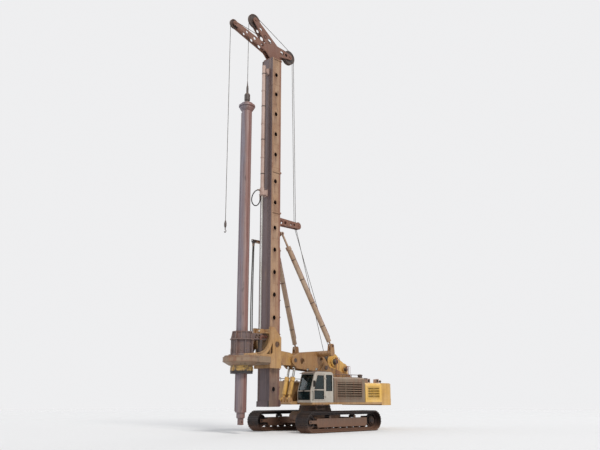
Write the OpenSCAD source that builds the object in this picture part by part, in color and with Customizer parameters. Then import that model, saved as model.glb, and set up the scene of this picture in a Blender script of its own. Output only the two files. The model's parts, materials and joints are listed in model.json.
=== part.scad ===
// Tracked rotary piling rig with its leader mast, kelly bar and rotary head, in working trim.
// The machine faces -Y, its left side is +X, and the ground is Z = 0.
// The origin is the middle of the machine's box, on the ground.

/* [Undercarriage] */
// Height of each track over its shoes
track_h = 1000; // [940:10:1060]
// Width over both tracks
track_span = 4300; // [4200:50:4600]
// Width of a track shoe
shoe_w = 800; // [700:20:840]
// Thickness of a shoe's plate
shoe_t = 30; // [24:1:36]
// Height of the grouser bars on a shoe
grouser_h = 40; // [30:1:50]
// Shoes on each straight run of a track
shoes_straight = 20; // [19:1:22]
// Shoes around each end of a track
shoes_round = 6; // [6:1:7]
// Depth of the chain inside the shoes
chain_t = 110; // [90:5:125]
// Width of the chain
chain_w = 230; // [200:5:250]
// Radius of a bottom roller
roller_r = 95; // [80:1:105]
// Bottom rollers on each side
roller_count = 8; // [7:1:9]
// Radius of a top roller
top_roller_r = 70; // [60:1:80]
// Thickness of the side cheeks of a track frame
cheek_t = 40; // [30:1:50]
// Outer radius of the slew ring
ring_r = 800; // [760:5:840]
// Height of the top of the slew ring
ring_top = 1240; // [1200:5:1280]

/* [Upper carriage] */
// Half width of the upper carriage
deck_half = 1450; // [1400:10:1500]
// Height of the deck that cab and housings stand on
deck_z = 1400; // [1380:5:1450]
// Distance from the slew axis back to the tail
tail_reach = 4750; // [4700:10:4900]
// Distance of the deck's front edge ahead of the slew axis
deck_ahead = 1650; // [1620:10:1680]
// Length of the counterweight
cw_len = 1050; // [950:10:1200]
// Length of the engine hood
hood_len = 1350; // [1300:10:1400]
// Height of the top of the counterweight and hood
hood_z = 2400; // [2350:10:2500]
// Thickness of the sheet metal of hood and housings
sheet_t = 20; // [12:1:30]
// Distance from the middle plane to the inner face of a pedestal plate
pedestal_in = 430; // [425:1:440]
// Thickness of a pedestal plate
pedestal_t = 60; // [50:1:65]

/* [Cab] */
// Gap between the pedestal and the cab
cab_gap = 40; // [30:5:80]
// Length of the cab at its floor
cab_len = 1620; // [1550:5:1700]
// Height of the cab
cab_h = 1480; // [1440:5:1560]
// Thickness of the cab's walls and door
cab_t = 40; // [30:1:50]
// Clearance around the door
door_gap = 6; // [5:1:10]
// Thickness of the panes
pane_t = 8; // [6:1:12]
// Radius of the door's hinge knuckles
knuckle_r = 18; // [14:1:22]

/* [Boom and cylinders] */
// Height of the boom's rear pivot
boom_z = 3150; // [3120:5:3180]
// Distance of the boom's rear pivot behind the slew axis
boom_back = 350; // [300:5:400]
// Height of the mast's tilting pivot
tilt_z = 3450; // [3430:5:3480]
// Distance of the mast's tilting pivot ahead of the slew axis
tilt_ahead = 1800; // [1780:5:1830]
// Radius of the two main pins
main_pin_r = 80; // [70:1:90]
// Thickness of a side arm of the boom
arm_t = 120; // [100:1:124]
// Radius of a boom cylinder's barrel
boom_cyl_r = 105; // [95:1:110]
// Radius of a boom cylinder's rod
boom_rod_r = 65; // [50:1:75]
// Sideways distance from the middle plane to a backstay's foot
stay_foot_x = 1300; // [1250:5:1320]
// Radius of a backstay's barrel
stay_r = 120; // [100:1:130]
// Radius of a backstay's rod
stay_rod_r = 55; // [45:1:65]
// Distance of the backstays' foot behind the tilting pivot
stay_foot_back = 1670; // [1640:10:1700]
// Length of a backstay from the end of its barrel to its upper pin
stay_rod_out = 790; // [760:10:900]

/* [Mast] */
// Distance of the mast's centre ahead of the slew axis
mast_ahead = 3200; // [3180:5:3240]
// Width of the mast box
mast_w = 700; // [680:5:720]
// Depth of the mast box
mast_d = 680; // [660:5:700]
// Thickness of the mast's plates
mast_t = 20; // [16:1:30]
// Height of the mast's foot
mast_foot = 1200; // [1150:5:1250]
// Height of the joint between the lower and middle sections
joint_a = 10900; // [10860:10:10950]
// Length of the middle section
middle_len = 2200; // [2100:10:2300]
// Height of the top of the mast box
mast_top = 19600; // [19500:10:19800]
// Radius of the holes in the mast's sides
side_hole_r = 115; // [90:1:130]
// Distance from one hole to the next in the mast's sides
hole_pitch = 1150; // [1100:10:1200]
// Least distance from the end of a mast section to its first hole
hole_edge = 400; // [350:10:450]
// Width and thickness of a guide rail
rail_w = 80; // [70:1:90]
// Depth of the flanges at the mast's joints
flange_out = 35; // [25:1:45]

/* [Kelly and head] */
// Distance of the kelly's axis ahead of the mast's centre
kelly_ahead = 1750; // [1740:5:1780]
// Outer radius of the kelly bar
kelly_r = 265; // [255:1:270]
// Height of a drive rib on the kelly bar
rib_h = 30; // [24:1:32]
// Width of a drive rib
rib_w = 60; // [50:1:70]
// Height of the kelly's top flange
kelly_top = 16400; // [16350:10:16450]
// Lowest point of the kelly's stub
kelly_low = 400; // [380:10:480]
// Radius of the kelly's top flange
kelly_flange_r = 425; // [400:5:440]
// Radius of the gear case at the head's rim
rim_r = 900; // [880:5:910]
// Height of the underside of the gear case
case_z = 3105; // [3100:5:3120]
// Height of the gear case
case_h = 435; // [420:5:450]
// Outer radius of the casing drive ring
drive_r = 530; // [515:5:545]
// Height of the casing drive ring
drive_h = 380; // [360:5:390]
// Outer radius of the damper section
damper_r = 520; // [500:5:530]
// Radius of the crowd cylinder's barrel
crowd_r = 105; // [95:1:110]
// Radius of the crowd cylinder's rod
crowd_rod_r = 48; // [40:1:55]
// Height of the lower end of the crowd cylinder's barrel
crowd_low = 11900; // [11880:10:11950]

/* [Mast head] */
// Radius of the two main rope sheaves
sheave_r = 400; // [380:5:410]
// Rise of the front main sheave's centre over the mast box
sheave_rise = 1900; // [1800:10:2000]
// Radius of the auxiliary rope sheave
aux_r = 260; // [240:5:270]
// Distance of the auxiliary rope ahead of the kelly's axis
aux_ahead = 1240; // [1200:10:1280]

/* [Hoses] */
// Outer radius of a hydraulic hose
hose_r = 28; // [25:1:30]

/* [Hidden] */
$fn = 64;
run_gap = 0.3;
pin_gap = 0.05;
case_gap = 5;

// Places along the machine: the origin is halfway between the auxiliary sheave and the tail
rope_seat = 35;
front_reach = mast_ahead + kelly_ahead + aux_ahead + rope_seat;
slew_y = (front_reach - tail_reach) / 2;
mast_y = slew_y - mast_ahead;
mast_front = mast_y - mast_d / 2;
mast_back = mast_y + mast_d / 2;
kelly_y = mast_y - kelly_ahead;
tail_y = slew_y + tail_reach;
boom_y = slew_y + boom_back;
tilt_y = slew_y - tilt_ahead;

// Track: every shoe has the same pitch on the straight runs and round the ends
plate_r = track_h / 2 - grouser_h - shoe_t;
shoe_pitch = PI * plate_r / shoes_round;
run_len = shoes_straight * shoe_pitch;
web_t = 5;
chain_in_r = plate_r - web_t - chain_t;
track_x = (track_span - shoe_w) / 2;
end_r = chain_in_r - run_gap;
roller_z = track_h / 2 - chain_in_r + roller_r + run_gap;
top_roller_z = track_h / 2 + chain_in_r - top_roller_r - run_gap;
roller_half = chain_w / 2 + 25;
beam_low = roller_z + roller_r + 15;
beam_high = top_roller_z - top_roller_r - 15;
beam_half_len = run_len / 2 - 420;

// Block from a low corner to a high corner
module block(x, y, z) {
    translate([x[0], y[0], z[0]])
        cube([x[1] - x[0], y[1] - y[0], z[1] - z[0]]);
}

// Side profile in Y and Z, given width along X
module side_plate(x0, x1, points) {
    translate([x0, 0, 0])
        rotate([90, 0, 90])
            linear_extrude(x1 - x0)
                polygon(points);
}

// Its children, drawn in Y and Z, given width along X
module yz_plate(x0, x1) {
    translate([x0, 0, 0])
        rotate([90, 0, 90])
            linear_extrude(x1 - x0)
                children();
}

// Points of an arc about c from angle a0 to a1
function arc(c, r, a0, a1, n = 10) =
    [for (k = [0:n]) let (a = a0 + (a1 - a0) * k / n) [c[0] + r * cos(a), c[1] + r * sin(a)]];

// Round bar along X at a place in Y and Z
module bar_x(x0, x1, y, z, r) {
    translate([x0, y, z])
        rotate([0, 90, 0])
            cylinder(h = x1 - x0, r = r);
}

// Puts its children on +X and again, mirrored, on -X
module both_sides() {
    children();
    mirror([1, 0, 0])
        children();
}

// Turns +Z to point from a to b and moves the origin to a
module aim(a, b) {
    d = b - a;
    translate(a)
        rotate([0, acos(d[2] / norm(d)), atan2(d[1], d[0])])
            children();
}

// Place on the track's loop at distance s from the front of the bottom run, h outwards: [y, z]
function on_loop(s, t, h) =
    let (arc = PI * plate_r)
    s < run_len ? [-run_len / 2 + s + t, -plate_r - h]
    : s < run_len + arc ? let (a = (s - run_len) / arc * 180)
        [run_len / 2 + (plate_r + h) * sin(a) + t * cos(a), -(plate_r + h) * cos(a) + t * sin(a)]
    : s < 2 * run_len + arc ? [run_len / 2 - (s - run_len - arc) - t, plate_r + h]
    : let (a = (s - 2 * run_len - arc) / arc * 180)
        [-run_len / 2 - (plate_r + h) * sin(a) - t * cos(a), (plate_r + h) * cos(a) - t * sin(a)];

// One shoe's outer outline as [share of the pitch, height], with two grouser bars
shoe_outline = [[-0.47, 0], [-0.47, shoe_t], [-0.28, shoe_t], [-0.24, shoe_t + grouser_h],
    [-0.2, shoe_t], [0.2, shoe_t], [0.24, shoe_t + grouser_h], [0.28, shoe_t], [0.47, shoe_t],
    [0.47, 0]];
shoe_total = 2 * (shoes_straight + shoes_round);

// Outline of a loop of radius r around both wheels
module loop_shape(r) {
    translate([-run_len / 2, 0])
        circle(r);
    translate([run_len / 2, 0])
        circle(r);
    translate([-run_len / 2, -r])
        square([run_len, 2 * r]);
}

module track() {
    color([0.13, 0.12, 0.12])
    translate([0, slew_y, track_h / 2])
        rotate([90, 0, 90]) {
            translate([0, 0, -shoe_w / 2])
                linear_extrude(shoe_w)
                    difference() {
                        polygon([for (k = [0:shoe_total - 1]) for (p = shoe_outline)
                            on_loop((k + 0.5) * shoe_pitch, p[0] * shoe_pitch, p[1])]);
                        loop_shape(plate_r - web_t);
                    }
            translate([0, 0, -chain_w / 2])
                linear_extrude(chain_w)
                    difference() {
                        loop_shape(plate_r - web_t / 2);
                        loop_shape(chain_in_r);
                    }
        }
}

// Frame beam with cheeks over the rollers, forks for the idler and a plate for the drive
module track_frame() {
    cheek_out = roller_half + cheek_t;
    axle_z = track_h / 2;
    color([0.2, 0.17, 0.15])
    translate([0, slew_y, 0]) {
        block([-cheek_out, cheek_out], [-beam_half_len, beam_half_len], [beam_low, beam_high]);
        for (side = [-1, 1])
            translate([side > 0 ? roller_half : -cheek_out, 0, 0])
                rotate([90, 0, 90])
                    linear_extrude(cheek_t)
                        difference() {
                            union() {
                                polygon([[-beam_half_len, beam_low + 10],
                                    [-beam_half_len + 60, roller_z - 30],
                                    [beam_half_len - 60, roller_z - 30],
                                    [beam_half_len, beam_low + 10]]);
                                translate([-run_len / 2 - 90, axle_z - 75])
                                    square([run_len / 2 - beam_half_len + 120, 150]);
                            }
                            translate([-run_len / 2, axle_z])
                                circle(50 + run_gap);
                        }
        for (y = [-run_len / 5, run_len / 5])
            for (side = [-1, 1])
                translate([side > 0 ? roller_half : -cheek_out, y - 60, beam_high])
                    cube([cheek_t, 120, top_roller_z - beam_high + 40]);
        block([-cheek_out, -roller_half], [beam_half_len - 60, run_len / 2 + 260],
            [axle_z - 230, axle_z + 230]);
    }
}

module carbody() {
    arm_end = track_x - roller_half - cheek_t;
    color([0.2, 0.17, 0.15])
    translate([0, slew_y, 0]) {
        side_plate(-820, 820, [[-950, 450], [950, 450], [1050, 560], [1050, 780], [860, 960],
            [-860, 960], [-1050, 780], [-1050, 560]]);
        for (y = [-780, 780])
            side_plate(-arm_end, arm_end, [[y - 200, beam_low], [y + 200, beam_low],
                [y + 200, beam_high - 10], [y + 150, beam_high + 30], [y - 150, beam_high + 30],
                [y - 200, beam_high - 10]]);
        translate([0, 0, 960])
            cylinder(h = ring_top - 115 - 960, r1 = 860, r2 = ring_r + 15);
    }
}

module slew_ring() {
    color([0.3, 0.28, 0.26])
    translate([0, slew_y, ring_top - 115])
        difference() {
            cylinder(h = 115, r = ring_r);
            translate([0, 0, -1])
                cylinder(h = 117, r = ring_r - 180);
        }
}

module drive_sprocket() {
    teeth = 21;
    tooth = 360 / teeth;
    root_r = end_r - 38;
    color([0.17, 0.15, 0.14])
    translate([0, slew_y + run_len / 2, track_h / 2])
        rotate([0, 90, 0]) {
            translate([0, 0, -45])
                linear_extrude(90)
                    polygon([for (k = [0:teeth - 1]) for (p = [[-0.36, root_r], [-0.16, end_r],
                        [0.16, end_r], [0.36, root_r]])
                        p[1] * [cos((k + p[0]) * tooth), sin((k + p[0]) * tooth)]]);
            translate([0, 0, -roller_half])
                cylinder(h = roller_half - 45, r = 225);
            translate([0, 0, 45])
                cylinder(h = 90, r = 205);
            translate([0, 0, 135])
                cylinder(h = 60, r1 = 175, r2 = 150);
        }
}

module idler() {
    half = roller_half - run_gap;
    color([0.17, 0.15, 0.14])
    translate([0, slew_y - run_len / 2, track_h / 2])
        rotate([0, 90, 0])
            rotate_extrude()
                polygon([[0, -half - cheek_t], [50, -half - cheek_t], [50, -half], [110, -half],
                    [110, -60], [240, -60], [240, -chain_w / 2], [end_r, -chain_w / 2],
                    [end_r, chain_w / 2], [240, chain_w / 2], [240, 60], [110, 60], [110, half],
                    [50, half], [50, half + cheek_t], [0, half + cheek_t]]);
}

module roller_set() {
    half = roller_half - run_gap;
    step = 2 * (beam_half_len - 130) / (roller_count - 1);
    color([0.17, 0.15, 0.14])
    translate([0, slew_y, 0]) {
        for (k = [0:roller_count - 1])
            bar_x(-half, half, -beam_half_len + 130 + k * step, roller_z, roller_r);
        for (y = [-run_len / 5, run_len / 5])
            bar_x(-half, half, y, top_roller_z, top_roller_r);
    }
}

// Upper carriage
flange_z = ring_top + run_gap;
plate_z = flange_z + 60;
nose_y = tilt_y - 430;
cyl_foot_y = tilt_y - 250;
cyl_foot_z = deck_z + 160;
cyl_x = 200;
cyl_eye_half = 65;
cyl_top_y = tilt_y + 150;
cyl_top_z = tilt_z - 330;
pedestal_out = pedestal_in + pedestal_t;
cab_in = pedestal_out + cab_gap;
hood_y = tail_y - cw_len;
hood_front = hood_y - hood_len;
deck_front = slew_y - deck_ahead;

module deck() {
    lug_in = cyl_x + cyl_eye_half + run_gap;
    color([0.72, 0.5, 0.12])
    {
        translate([0, slew_y, flange_z])
            cylinder(h = plate_z - flange_z, r = ring_r - 30);
        block([-deck_half, deck_half], [deck_front, hood_y], [plate_z, deck_z]);
        side_plate(-pedestal_out, pedestal_out, [[nose_y, plate_z + 40], [nose_y + 120, plate_z],
            [deck_front, plate_z], [deck_front, deck_z + 60], [nose_y + 260, deck_z + 60],
            [nose_y, deck_z]]);
        both_sides() {
            side_plate(lug_in, lug_in + 50, [[cyl_foot_y - 150, deck_z], [cyl_foot_y + 200, deck_z],
                [cyl_foot_y + 90, cyl_foot_z + 90], [cyl_foot_y - 90, cyl_foot_z + 90]]);
            side_plate(cyl_x - cyl_eye_half - run_gap - 50, cyl_x - cyl_eye_half - run_gap,
                [[cyl_foot_y - 150, deck_z], [cyl_foot_y + 200, deck_z],
                [cyl_foot_y + 90, cyl_foot_z + 90], [cyl_foot_y - 90, cyl_foot_z + 90]]);
            bar_x(cyl_x - cyl_eye_half - 40, lug_in + 60, cyl_foot_y, cyl_foot_z, 45);
        }
    }
}

// Two tall side plates that carry the boom's rear pin and the winches
winch_back = 1080;
aux_winch_back = 1900;
foot_ahead = 1300;
foot_back = 1700;
shelf_back = 2300;
winch_y = slew_y + winch_back;
winch_z = boom_z + 330;
aux_winch_y = slew_y + aux_winch_back;
aux_winch_z = boom_z - 50;
aux_seat_z = aux_winch_z - 340;
module pedestal() {
    // Round openings in each plate: [place behind the slew axis, height over the deck, radius]
    holes = [[-250, 550, 260], [900, 650, 300], [1640, 900, 170]];
    rear_low = aux_seat_z - 310;
    shelf_y = slew_y + shelf_back;
    color([0.62, 0.42, 0.13])
    {
        both_sides()
            difference() {
                union() {
                    side_plate(pedestal_in, pedestal_out, [[slew_y - foot_ahead, deck_z],
                        [slew_y + foot_back, deck_z], [shelf_y, rear_low], [shelf_y, aux_seat_z],
                        [boom_y + 240, boom_z + 60], [boom_y - 200, boom_z + 130],
                        [slew_y - 500, deck_z + 1100]]);
                    bar_x(pedestal_in, pedestal_out, boom_y, boom_z, 250);
                }
                for (h = holes)
                    bar_x(pedestal_in - 1, pedestal_out + 1, slew_y + h[0], deck_z + h[1], h[2]);
            }
        bar_x(-pedestal_out - 20, pedestal_out + 20, boom_y, boom_z, main_pin_r);
        block([-pedestal_in, pedestal_in], [slew_y + 1360, slew_y + 1420], [deck_z, deck_z + 1200]);
        block([-pedestal_in, pedestal_in], [shelf_y - 60, shelf_y], [rear_low, aux_seat_z]);
        bar_x(-pedestal_in, pedestal_in, slew_y - 500, deck_z + 900, 90);
    }
}

module counterweight() {
    round_r = 420;
    top_r = 480;
    over = 40;
    low = plate_z - 60;
    color([0.93, 0.7, 0.1])
    intersection() {
        translate([0, 0, low])
            linear_extrude(hood_z)
                union() {
                    translate([-deck_half, hood_y + run_gap])
                        square([2 * deck_half, cw_len - run_gap - round_r]);
                    translate([-deck_half + round_r, hood_y + run_gap])
                        square([2 * (deck_half - round_r), cw_len - run_gap]);
                    for (side = [-1, 1])
                        translate([side * (deck_half - round_r), tail_y - round_r])
                            circle(round_r);
                }
        translate([-deck_half - 1, 0, 0])
            rotate([90, 0, 90])
                linear_extrude(2 * deck_half + 2)
                    union() {
                        translate([hood_y, low])
                            square([cw_len + over, hood_z - top_r - low]);
                        translate([hood_y, low])
                            square([cw_len - top_r + over, hood_z - low]);
                        translate([tail_y - top_r + over, hood_z - top_r])
                            circle(top_r);
                    }
    }
}

// Box along Y whose two upper edges are rounded to radius r
module rounded_box(x, y, z, r) {
    translate([0, y[1], 0])
        rotate([90, 0, 0])
            linear_extrude(y[1] - y[0])
                polygon(concat([[x[0], z[0]], [x[1], z[0]]],
                    arc([x[1] - r, z[1] - r], r, 0, 90), arc([x[0] + r, z[1] - r], r, 90, 180)));
}

// Hollow sheet housing, open below, with a slatted opening on its outer side
edge_r = 130;
module housing(x, y, z, slat_y, slat_z, outer) {
    difference() {
        rounded_box(x, y, z, edge_r);
        rounded_box([x[0] + sheet_t, x[1] - sheet_t], [y[0] + sheet_t, y[1] - sheet_t],
            [z[0] - 1, z[1] - sheet_t], edge_r - sheet_t);
        block([outer > 0 ? x[1] - sheet_t - 1 : x[0] - 1, outer > 0 ? x[1] + 1 : x[0] + sheet_t + 1],
            slat_y, slat_z);
    }
    slats = 7;
    step = (slat_z[1] - slat_z[0]) / slats;
    for (k = [0:slats - 1])
        side_plate(outer > 0 ? x[1] - sheet_t : x[0], outer > 0 ? x[1] : x[0] + sheet_t,
            [[slat_y[0] - 1, slat_z[0] + (k + 0.25) * step], [slat_y[1] + 1, slat_z[0] + (k + 0.25) * step],
            [slat_y[1] + 1, slat_z[0] + (k + 0.7) * step], [slat_y[0] - 1, slat_z[0] + (k + 0.7) * step]]);
}

module engine_hood() {
    color([0.93, 0.7, 0.1])
        housing([-deck_half, deck_half], [hood_front, hood_y], [deck_z, hood_z],
            [hood_front + 200, hood_y - 200], [deck_z + 200, hood_z - 200], 1);
}

module engine() {
    color([0.25, 0.25, 0.25])
        block([-700, 700], [hood_front + 150, hood_y - 150], [deck_z, deck_z + 800]);
}

module tank_housing() {
    color([0.8, 0.58, 0.13])
        housing([-deck_half, -pedestal_out - 30], [deck_front + 50, hood_front - 40],
            [deck_z, hood_z + 60], [slew_y + 300, slew_y + 1500], [deck_z + 200, hood_z - 250], -1);
}

module pump_housing() {
    color([0.55, 0.53, 0.5])
        housing([cab_in + 20, deck_half], [cab_back + 60, hood_front - 40], [deck_z, hood_z + 250],
            [cab_back + 300, hood_front - 300], [deck_z + 200, hood_z], 1);
}

// Cab: a shell with its windows cut, a door on its outer side
cab_back = slew_y - 150;
cab_front = cab_back - cab_len;
cab_top = deck_z + cab_h;
sill_z = deck_z + 560;
lean = 18.6;
roof_r = 160;
pillar_w = 60;
// Place of the leaning front at height z, taken inwards by off
function front_y(z, off) = cab_front + 10 + (z - sill_z) * tan(lean) + off / cos(lean);
roof_y = front_y(cab_top - roof_r, roof_r);
// Outline of the cab's side, taken inwards by m
function cab_outline(m) = concat([[cab_front + m, deck_z + m], [cab_back - m, deck_z + m]],
    arc([cab_back - roof_r, cab_top - roof_r], roof_r - m, 0, 90),
    arc([roof_y, cab_top - roof_r], roof_r - m, 90, 180 - lean),
    [[front_y(sill_z, m), sill_z]]);
// Slice of the leaning front from height z0 to z1, between two depths behind its face
function front_slice(z0, z1, d0, d1) =
    [[front_y(z0, d0), z0], [front_y(z0, d1), z0], [front_y(z1, d1), z1], [front_y(z1, d0), z1]];
door_back = cab_front + 1000;
door_front = cab_front + 190;
door_low = deck_z + 90;
door_high = cab_top - 110;
waist_z = deck_z + 640;
window_top = cab_top - 150;
pane_in = cab_t / 2 - pane_t / 2;
// The door's outline follows the lean of the front pillar
function door_shape(m) = [[door_front + m, door_low + m], [door_back - m, door_low + m],
    [door_back - m, door_high - m], [door_front + 250 + m, door_high - m], [door_front + m, waist_z]];
rear_side_window = [[door_back + 100, sill_z], [cab_back - 90, sill_z],
    [cab_back - 90, window_top], [door_back + 100, window_top]];
window_x = [cab_in + pillar_w, deck_half - pillar_w];
foot_window_z = [deck_z + 130, sill_z - 40];
rear_window_z = [deck_z + 700, cab_top - 190];
module cab_shell() {
    color([0.62, 0.6, 0.56])
    {
        difference() {
            side_plate(cab_in, deck_half, cab_outline(0));
            side_plate(cab_in + cab_t, deck_half - cab_t, cab_outline(cab_t));
            side_plate(deck_half - cab_t - 1, deck_half + 1, door_shape(0));
            side_plate(window_x[0], window_x[1], front_slice(sill_z + 30, window_top, -50, cab_t + 50));
            block(window_x, [cab_front - 1, cab_front + cab_t + 20], foot_window_z);
            side_plate(cab_in - 1, deck_half + 1, rear_side_window);
            side_plate(cab_in - 1, cab_in + cab_t + 1, door_shape(pillar_w));
            block(window_x, [cab_back - cab_t - 1, cab_back + 1], rear_window_z);
        }
        for (z = [door_low + 150, door_high - 250])
            hinge_knuckle(z, -1);
    }
}

knuckle_h = 70;
knuckle_y = door_back + 30;
knuckle_x = deck_half + knuckle_r + 4;
// Knuckle with its leaf: side -1 sits on the shell below, side 1 on the door above
module hinge_knuckle(z, side) {
    z0 = side < 0 ? z : z + knuckle_h + run_gap;
    translate([knuckle_x, knuckle_y, z0])
        cylinder(h = knuckle_h, r = knuckle_r);
    block([deck_half, knuckle_x], side < 0 ? [knuckle_y, knuckle_y + 60] :
        [knuckle_y - 110, knuckle_y], [z0, z0 + knuckle_h]);
}

module pane(outline, x0) {
    side_plate(x0, x0 + pane_t, outline);
}

module cab_glass() {
    color([0.1, 0.2, 0.2, 0.6])
    {
        side_plate(window_x[0], window_x[1],
            front_slice(sill_z + 30, window_top, pane_in, pane_in + pane_t));
        block(window_x, [cab_front + pane_in, cab_front + pane_in + pane_t], foot_window_z);
        pane(rear_side_window, deck_half - pane_in - pane_t);
        pane(rear_side_window, cab_in + pane_in);
        pane(door_shape(pillar_w), cab_in + pane_in);
        block(window_x, [cab_back - pane_in - pane_t, cab_back - pane_in], rear_window_z);
    }
}

// The door's upper and lower panes, with a rail between them
stile_w = 70;
DOOR_WINDOWS = [[[door_front + stile_w, waist_z], [door_back - stile_w, waist_z],
    [door_back - stile_w, door_high - stile_w], [door_front + 230 + stile_w, door_high - stile_w]],
    [[door_front + stile_w, door_low + stile_w], [door_back - stile_w, door_low + stile_w],
    [door_back - stile_w, waist_z - stile_w], [door_front + stile_w, waist_z - stile_w]]];
module cab_door() {
    color([0.62, 0.6, 0.56])
    {
        difference() {
            side_plate(deck_half - cab_t, deck_half, door_shape(door_gap));
            for (w = DOOR_WINDOWS)
                side_plate(deck_half - cab_t - 1, deck_half + 1, w);
        }
        for (z = [door_low + 150, door_high - 250])
            hinge_knuckle(z, 1);
        block([deck_half, deck_half + 30], [door_front + 100, door_front + 260],
            [waist_z - 50, waist_z - 20]);
    }
}

module cab_door_glass() {
    color([0.1, 0.2, 0.2, 0.6])
    for (w = DOOR_WINDOWS)
        pane(w, deck_half - pane_in - pane_t);
}

module operator_seat() {
    seat_x = (cab_in + deck_half) / 2;
    seat_y = cab_back - 620;
    floor_z = deck_z + cab_t;
    color([0.12, 0.12, 0.13])
    {
        block([seat_x - 180, seat_x + 180], [seat_y - 160, seat_y + 200], [floor_z, floor_z + 300]);
        side_plate(seat_x - 240, seat_x + 240, [[seat_y - 260, floor_z + 300],
            [seat_y + 260, floor_z + 300], [seat_y + 400, floor_z + 950], [seat_y + 290, floor_z + 980],
            [seat_y + 160, floor_z + 440], [seat_y - 240, floor_z + 430]]);
        for (side = [-1, 1])
            block([seat_x + side * 300 - 45, seat_x + side * 300 + 45], [seat_y - 240, seat_y + 160],
                [floor_z, floor_z + 540]);
    }
}

module exhaust() {
    stack_y = hood_front + 500;
    color([0.16, 0.14, 0.13])
    {
        block([350, 900], [stack_y - 250, stack_y + 350], [hood_z, hood_z + 260]);
        translate([-300, stack_y + 200, hood_z])
            cylinder(h = 420, r = 85);
        translate([-300, stack_y + 200, hood_z + 420])
            cylinder(h = 60, r1 = 85, r2 = 100);
    }
}

// Winches on top of the pedestal: [y, z, flange radius, core radius]
WINCHES = [[winch_y, winch_z, 390, 270], [aux_winch_y, aux_winch_z, 280, 180]];
drum_half = 300;
journal_r = 70;
module winch_frame() {
    cheek_in = drum_half + run_gap;
    seat_z = aux_seat_z + 10;
    foot_z = winch_z - 450;
    color([0.85, 0.62, 0.12])
    {
        both_sides()
            difference() {
                union() {
                    yz_plate(cheek_in, cheek_in + 50) {
                        for (w = WINCHES)
                            translate([w[0], w[1]])
                                circle(w[2] + 40);
                        polygon([[winch_y - 360, winch_z - 380], [winch_y - 400, winch_z],
                            [winch_y, winch_z + 400], [winch_y + 330, winch_z + 200],
                            [aux_winch_y + 150, aux_winch_z + 250], [aux_winch_y + 310, aux_winch_z],
                            [aux_winch_y + 310, seat_z], [slew_y + 1500, seat_z],
                            [winch_y, winch_z - 530]]);
                    }
                    side_plate(cheek_in + 50, pedestal_in, [[winch_y - 200, foot_z],
                        [winch_y + 300, foot_z - 50], [winch_y + 300, foot_z + 120],
                        [winch_y - 200, foot_z + 120]]);
                    side_plate(cheek_in + 50, pedestal_in, [[aux_winch_y - 200, seat_z + 20],
                        [aux_winch_y + 300, seat_z], [aux_winch_y + 300, seat_z + 130],
                        [aux_winch_y - 200, seat_z + 130]]);
                }
                for (w = WINCHES)
                    bar_x(cheek_in - 1, cheek_in + 51, w[0], w[1], journal_r + run_gap);
            }
        for (w = WINCHES) {
            bar_x(cheek_in + 50, cheek_in + 130, w[0], w[1], w[3] - 20);
            bar_x(-cheek_in - 90, -cheek_in - 50, w[0], w[1], w[3] - 60);
        }
        bar_x(-cheek_in, cheek_in, winch_y - 345, winch_z - 310, 40);
        bar_x(-cheek_in, cheek_in, slew_y + 1520, aux_winch_z - 100, 45);
    }
}

module winch_drum(w) {
    color([0.35, 0.3, 0.26])
    translate([0, w[0], w[1]])
        rotate([0, 90, 0])
            rotate_extrude()
                polygon([[0, -drum_half - 48], [journal_r, -drum_half - 48], [journal_r, -drum_half],
                    [w[2], -drum_half], [w[2], -drum_half + 35], [w[3], -drum_half + 35],
                    [w[3], drum_half - 35], [w[2], drum_half - 35], [w[2], drum_half],
                    [journal_r, drum_half], [journal_r, drum_half + 48], [0, drum_half + 48]]);
}

// Boom: two side arms with a box between them and a cross tube for the backstays' feet
arm_out = pedestal_in - 10;
arm_in = arm_out - arm_t;
foot_y = tilt_y + stay_foot_back;
foot_z = tilt_z + 750;
foot_pin_r = 45;
stay_eye_half = 50;
// Round openings in the boom's arms: [place behind the tilting pivot, height over it, radius]
BOOM_HOLES = [[500, -30, 150], [1880, 130, 100]];
module boom() {
    tube_z = foot_z - 370;
    fork_gap = 22;
    fork_in = stay_foot_x - stay_eye_half - fork_gap;
    fork_out = stay_foot_x + stay_eye_half + fork_gap;
    fork_profile = [[foot_y - 160, tube_z], [foot_y + 160, tube_z], [foot_y + 110, foot_z + 40],
        [foot_y + 60, foot_z + 100], [foot_y - 60, foot_z + 100], [foot_y - 110, foot_z + 40]];
    color([0.6, 0.4, 0.14])
    difference() {
        union() {
            both_sides() {
                side_plate(arm_in, arm_out, [[tilt_y - 160, tilt_z - 160], [tilt_y + 140, tilt_z - 400],
                    [boom_y - 240, boom_z - 230], [boom_y + 60, boom_z - 280],
                    [boom_y + 280, boom_z], [boom_y + 200, boom_z + 240],
                    [foot_y + 200, tube_z + 110], [foot_y - 260, tube_z + 110],
                    [tilt_y + 300, tilt_z + 380], [tilt_y - 120, tilt_z + 200]]);
                bar_x(arm_in, arm_out, tilt_y, tilt_z, 235);
                bar_x(arm_in, arm_out, boom_y, boom_z, 285);
                side_plate(fork_in - 45, fork_in, fork_profile);
                side_plate(fork_out, fork_out + 45, fork_profile);
                bar_x(fork_in - 45, fork_out + 65, foot_y, foot_z, foot_pin_r);
                bar_x(cyl_x - cyl_eye_half - 20, arm_in, cyl_top_y, cyl_top_z, 45);
            }
            bar_x(-fork_out - 45, fork_out + 45, foot_y, tube_z, 150);
            block([-arm_in, arm_in], [tilt_y + 700, foot_y], [boom_z + 180, tilt_z + 240]);
        }
        bar_x(-arm_out - 1, arm_out + 1, tilt_y, tilt_z, main_pin_r + pin_gap);
        bar_x(-arm_out - 1, arm_out + 1, boom_y, boom_z, main_pin_r + pin_gap);
        for (h = BOOM_HOLES)
            bar_x(-arm_out - 1, arm_out + 1, tilt_y + h[0], tilt_z + h[1], h[2]);
    }
}

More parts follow.
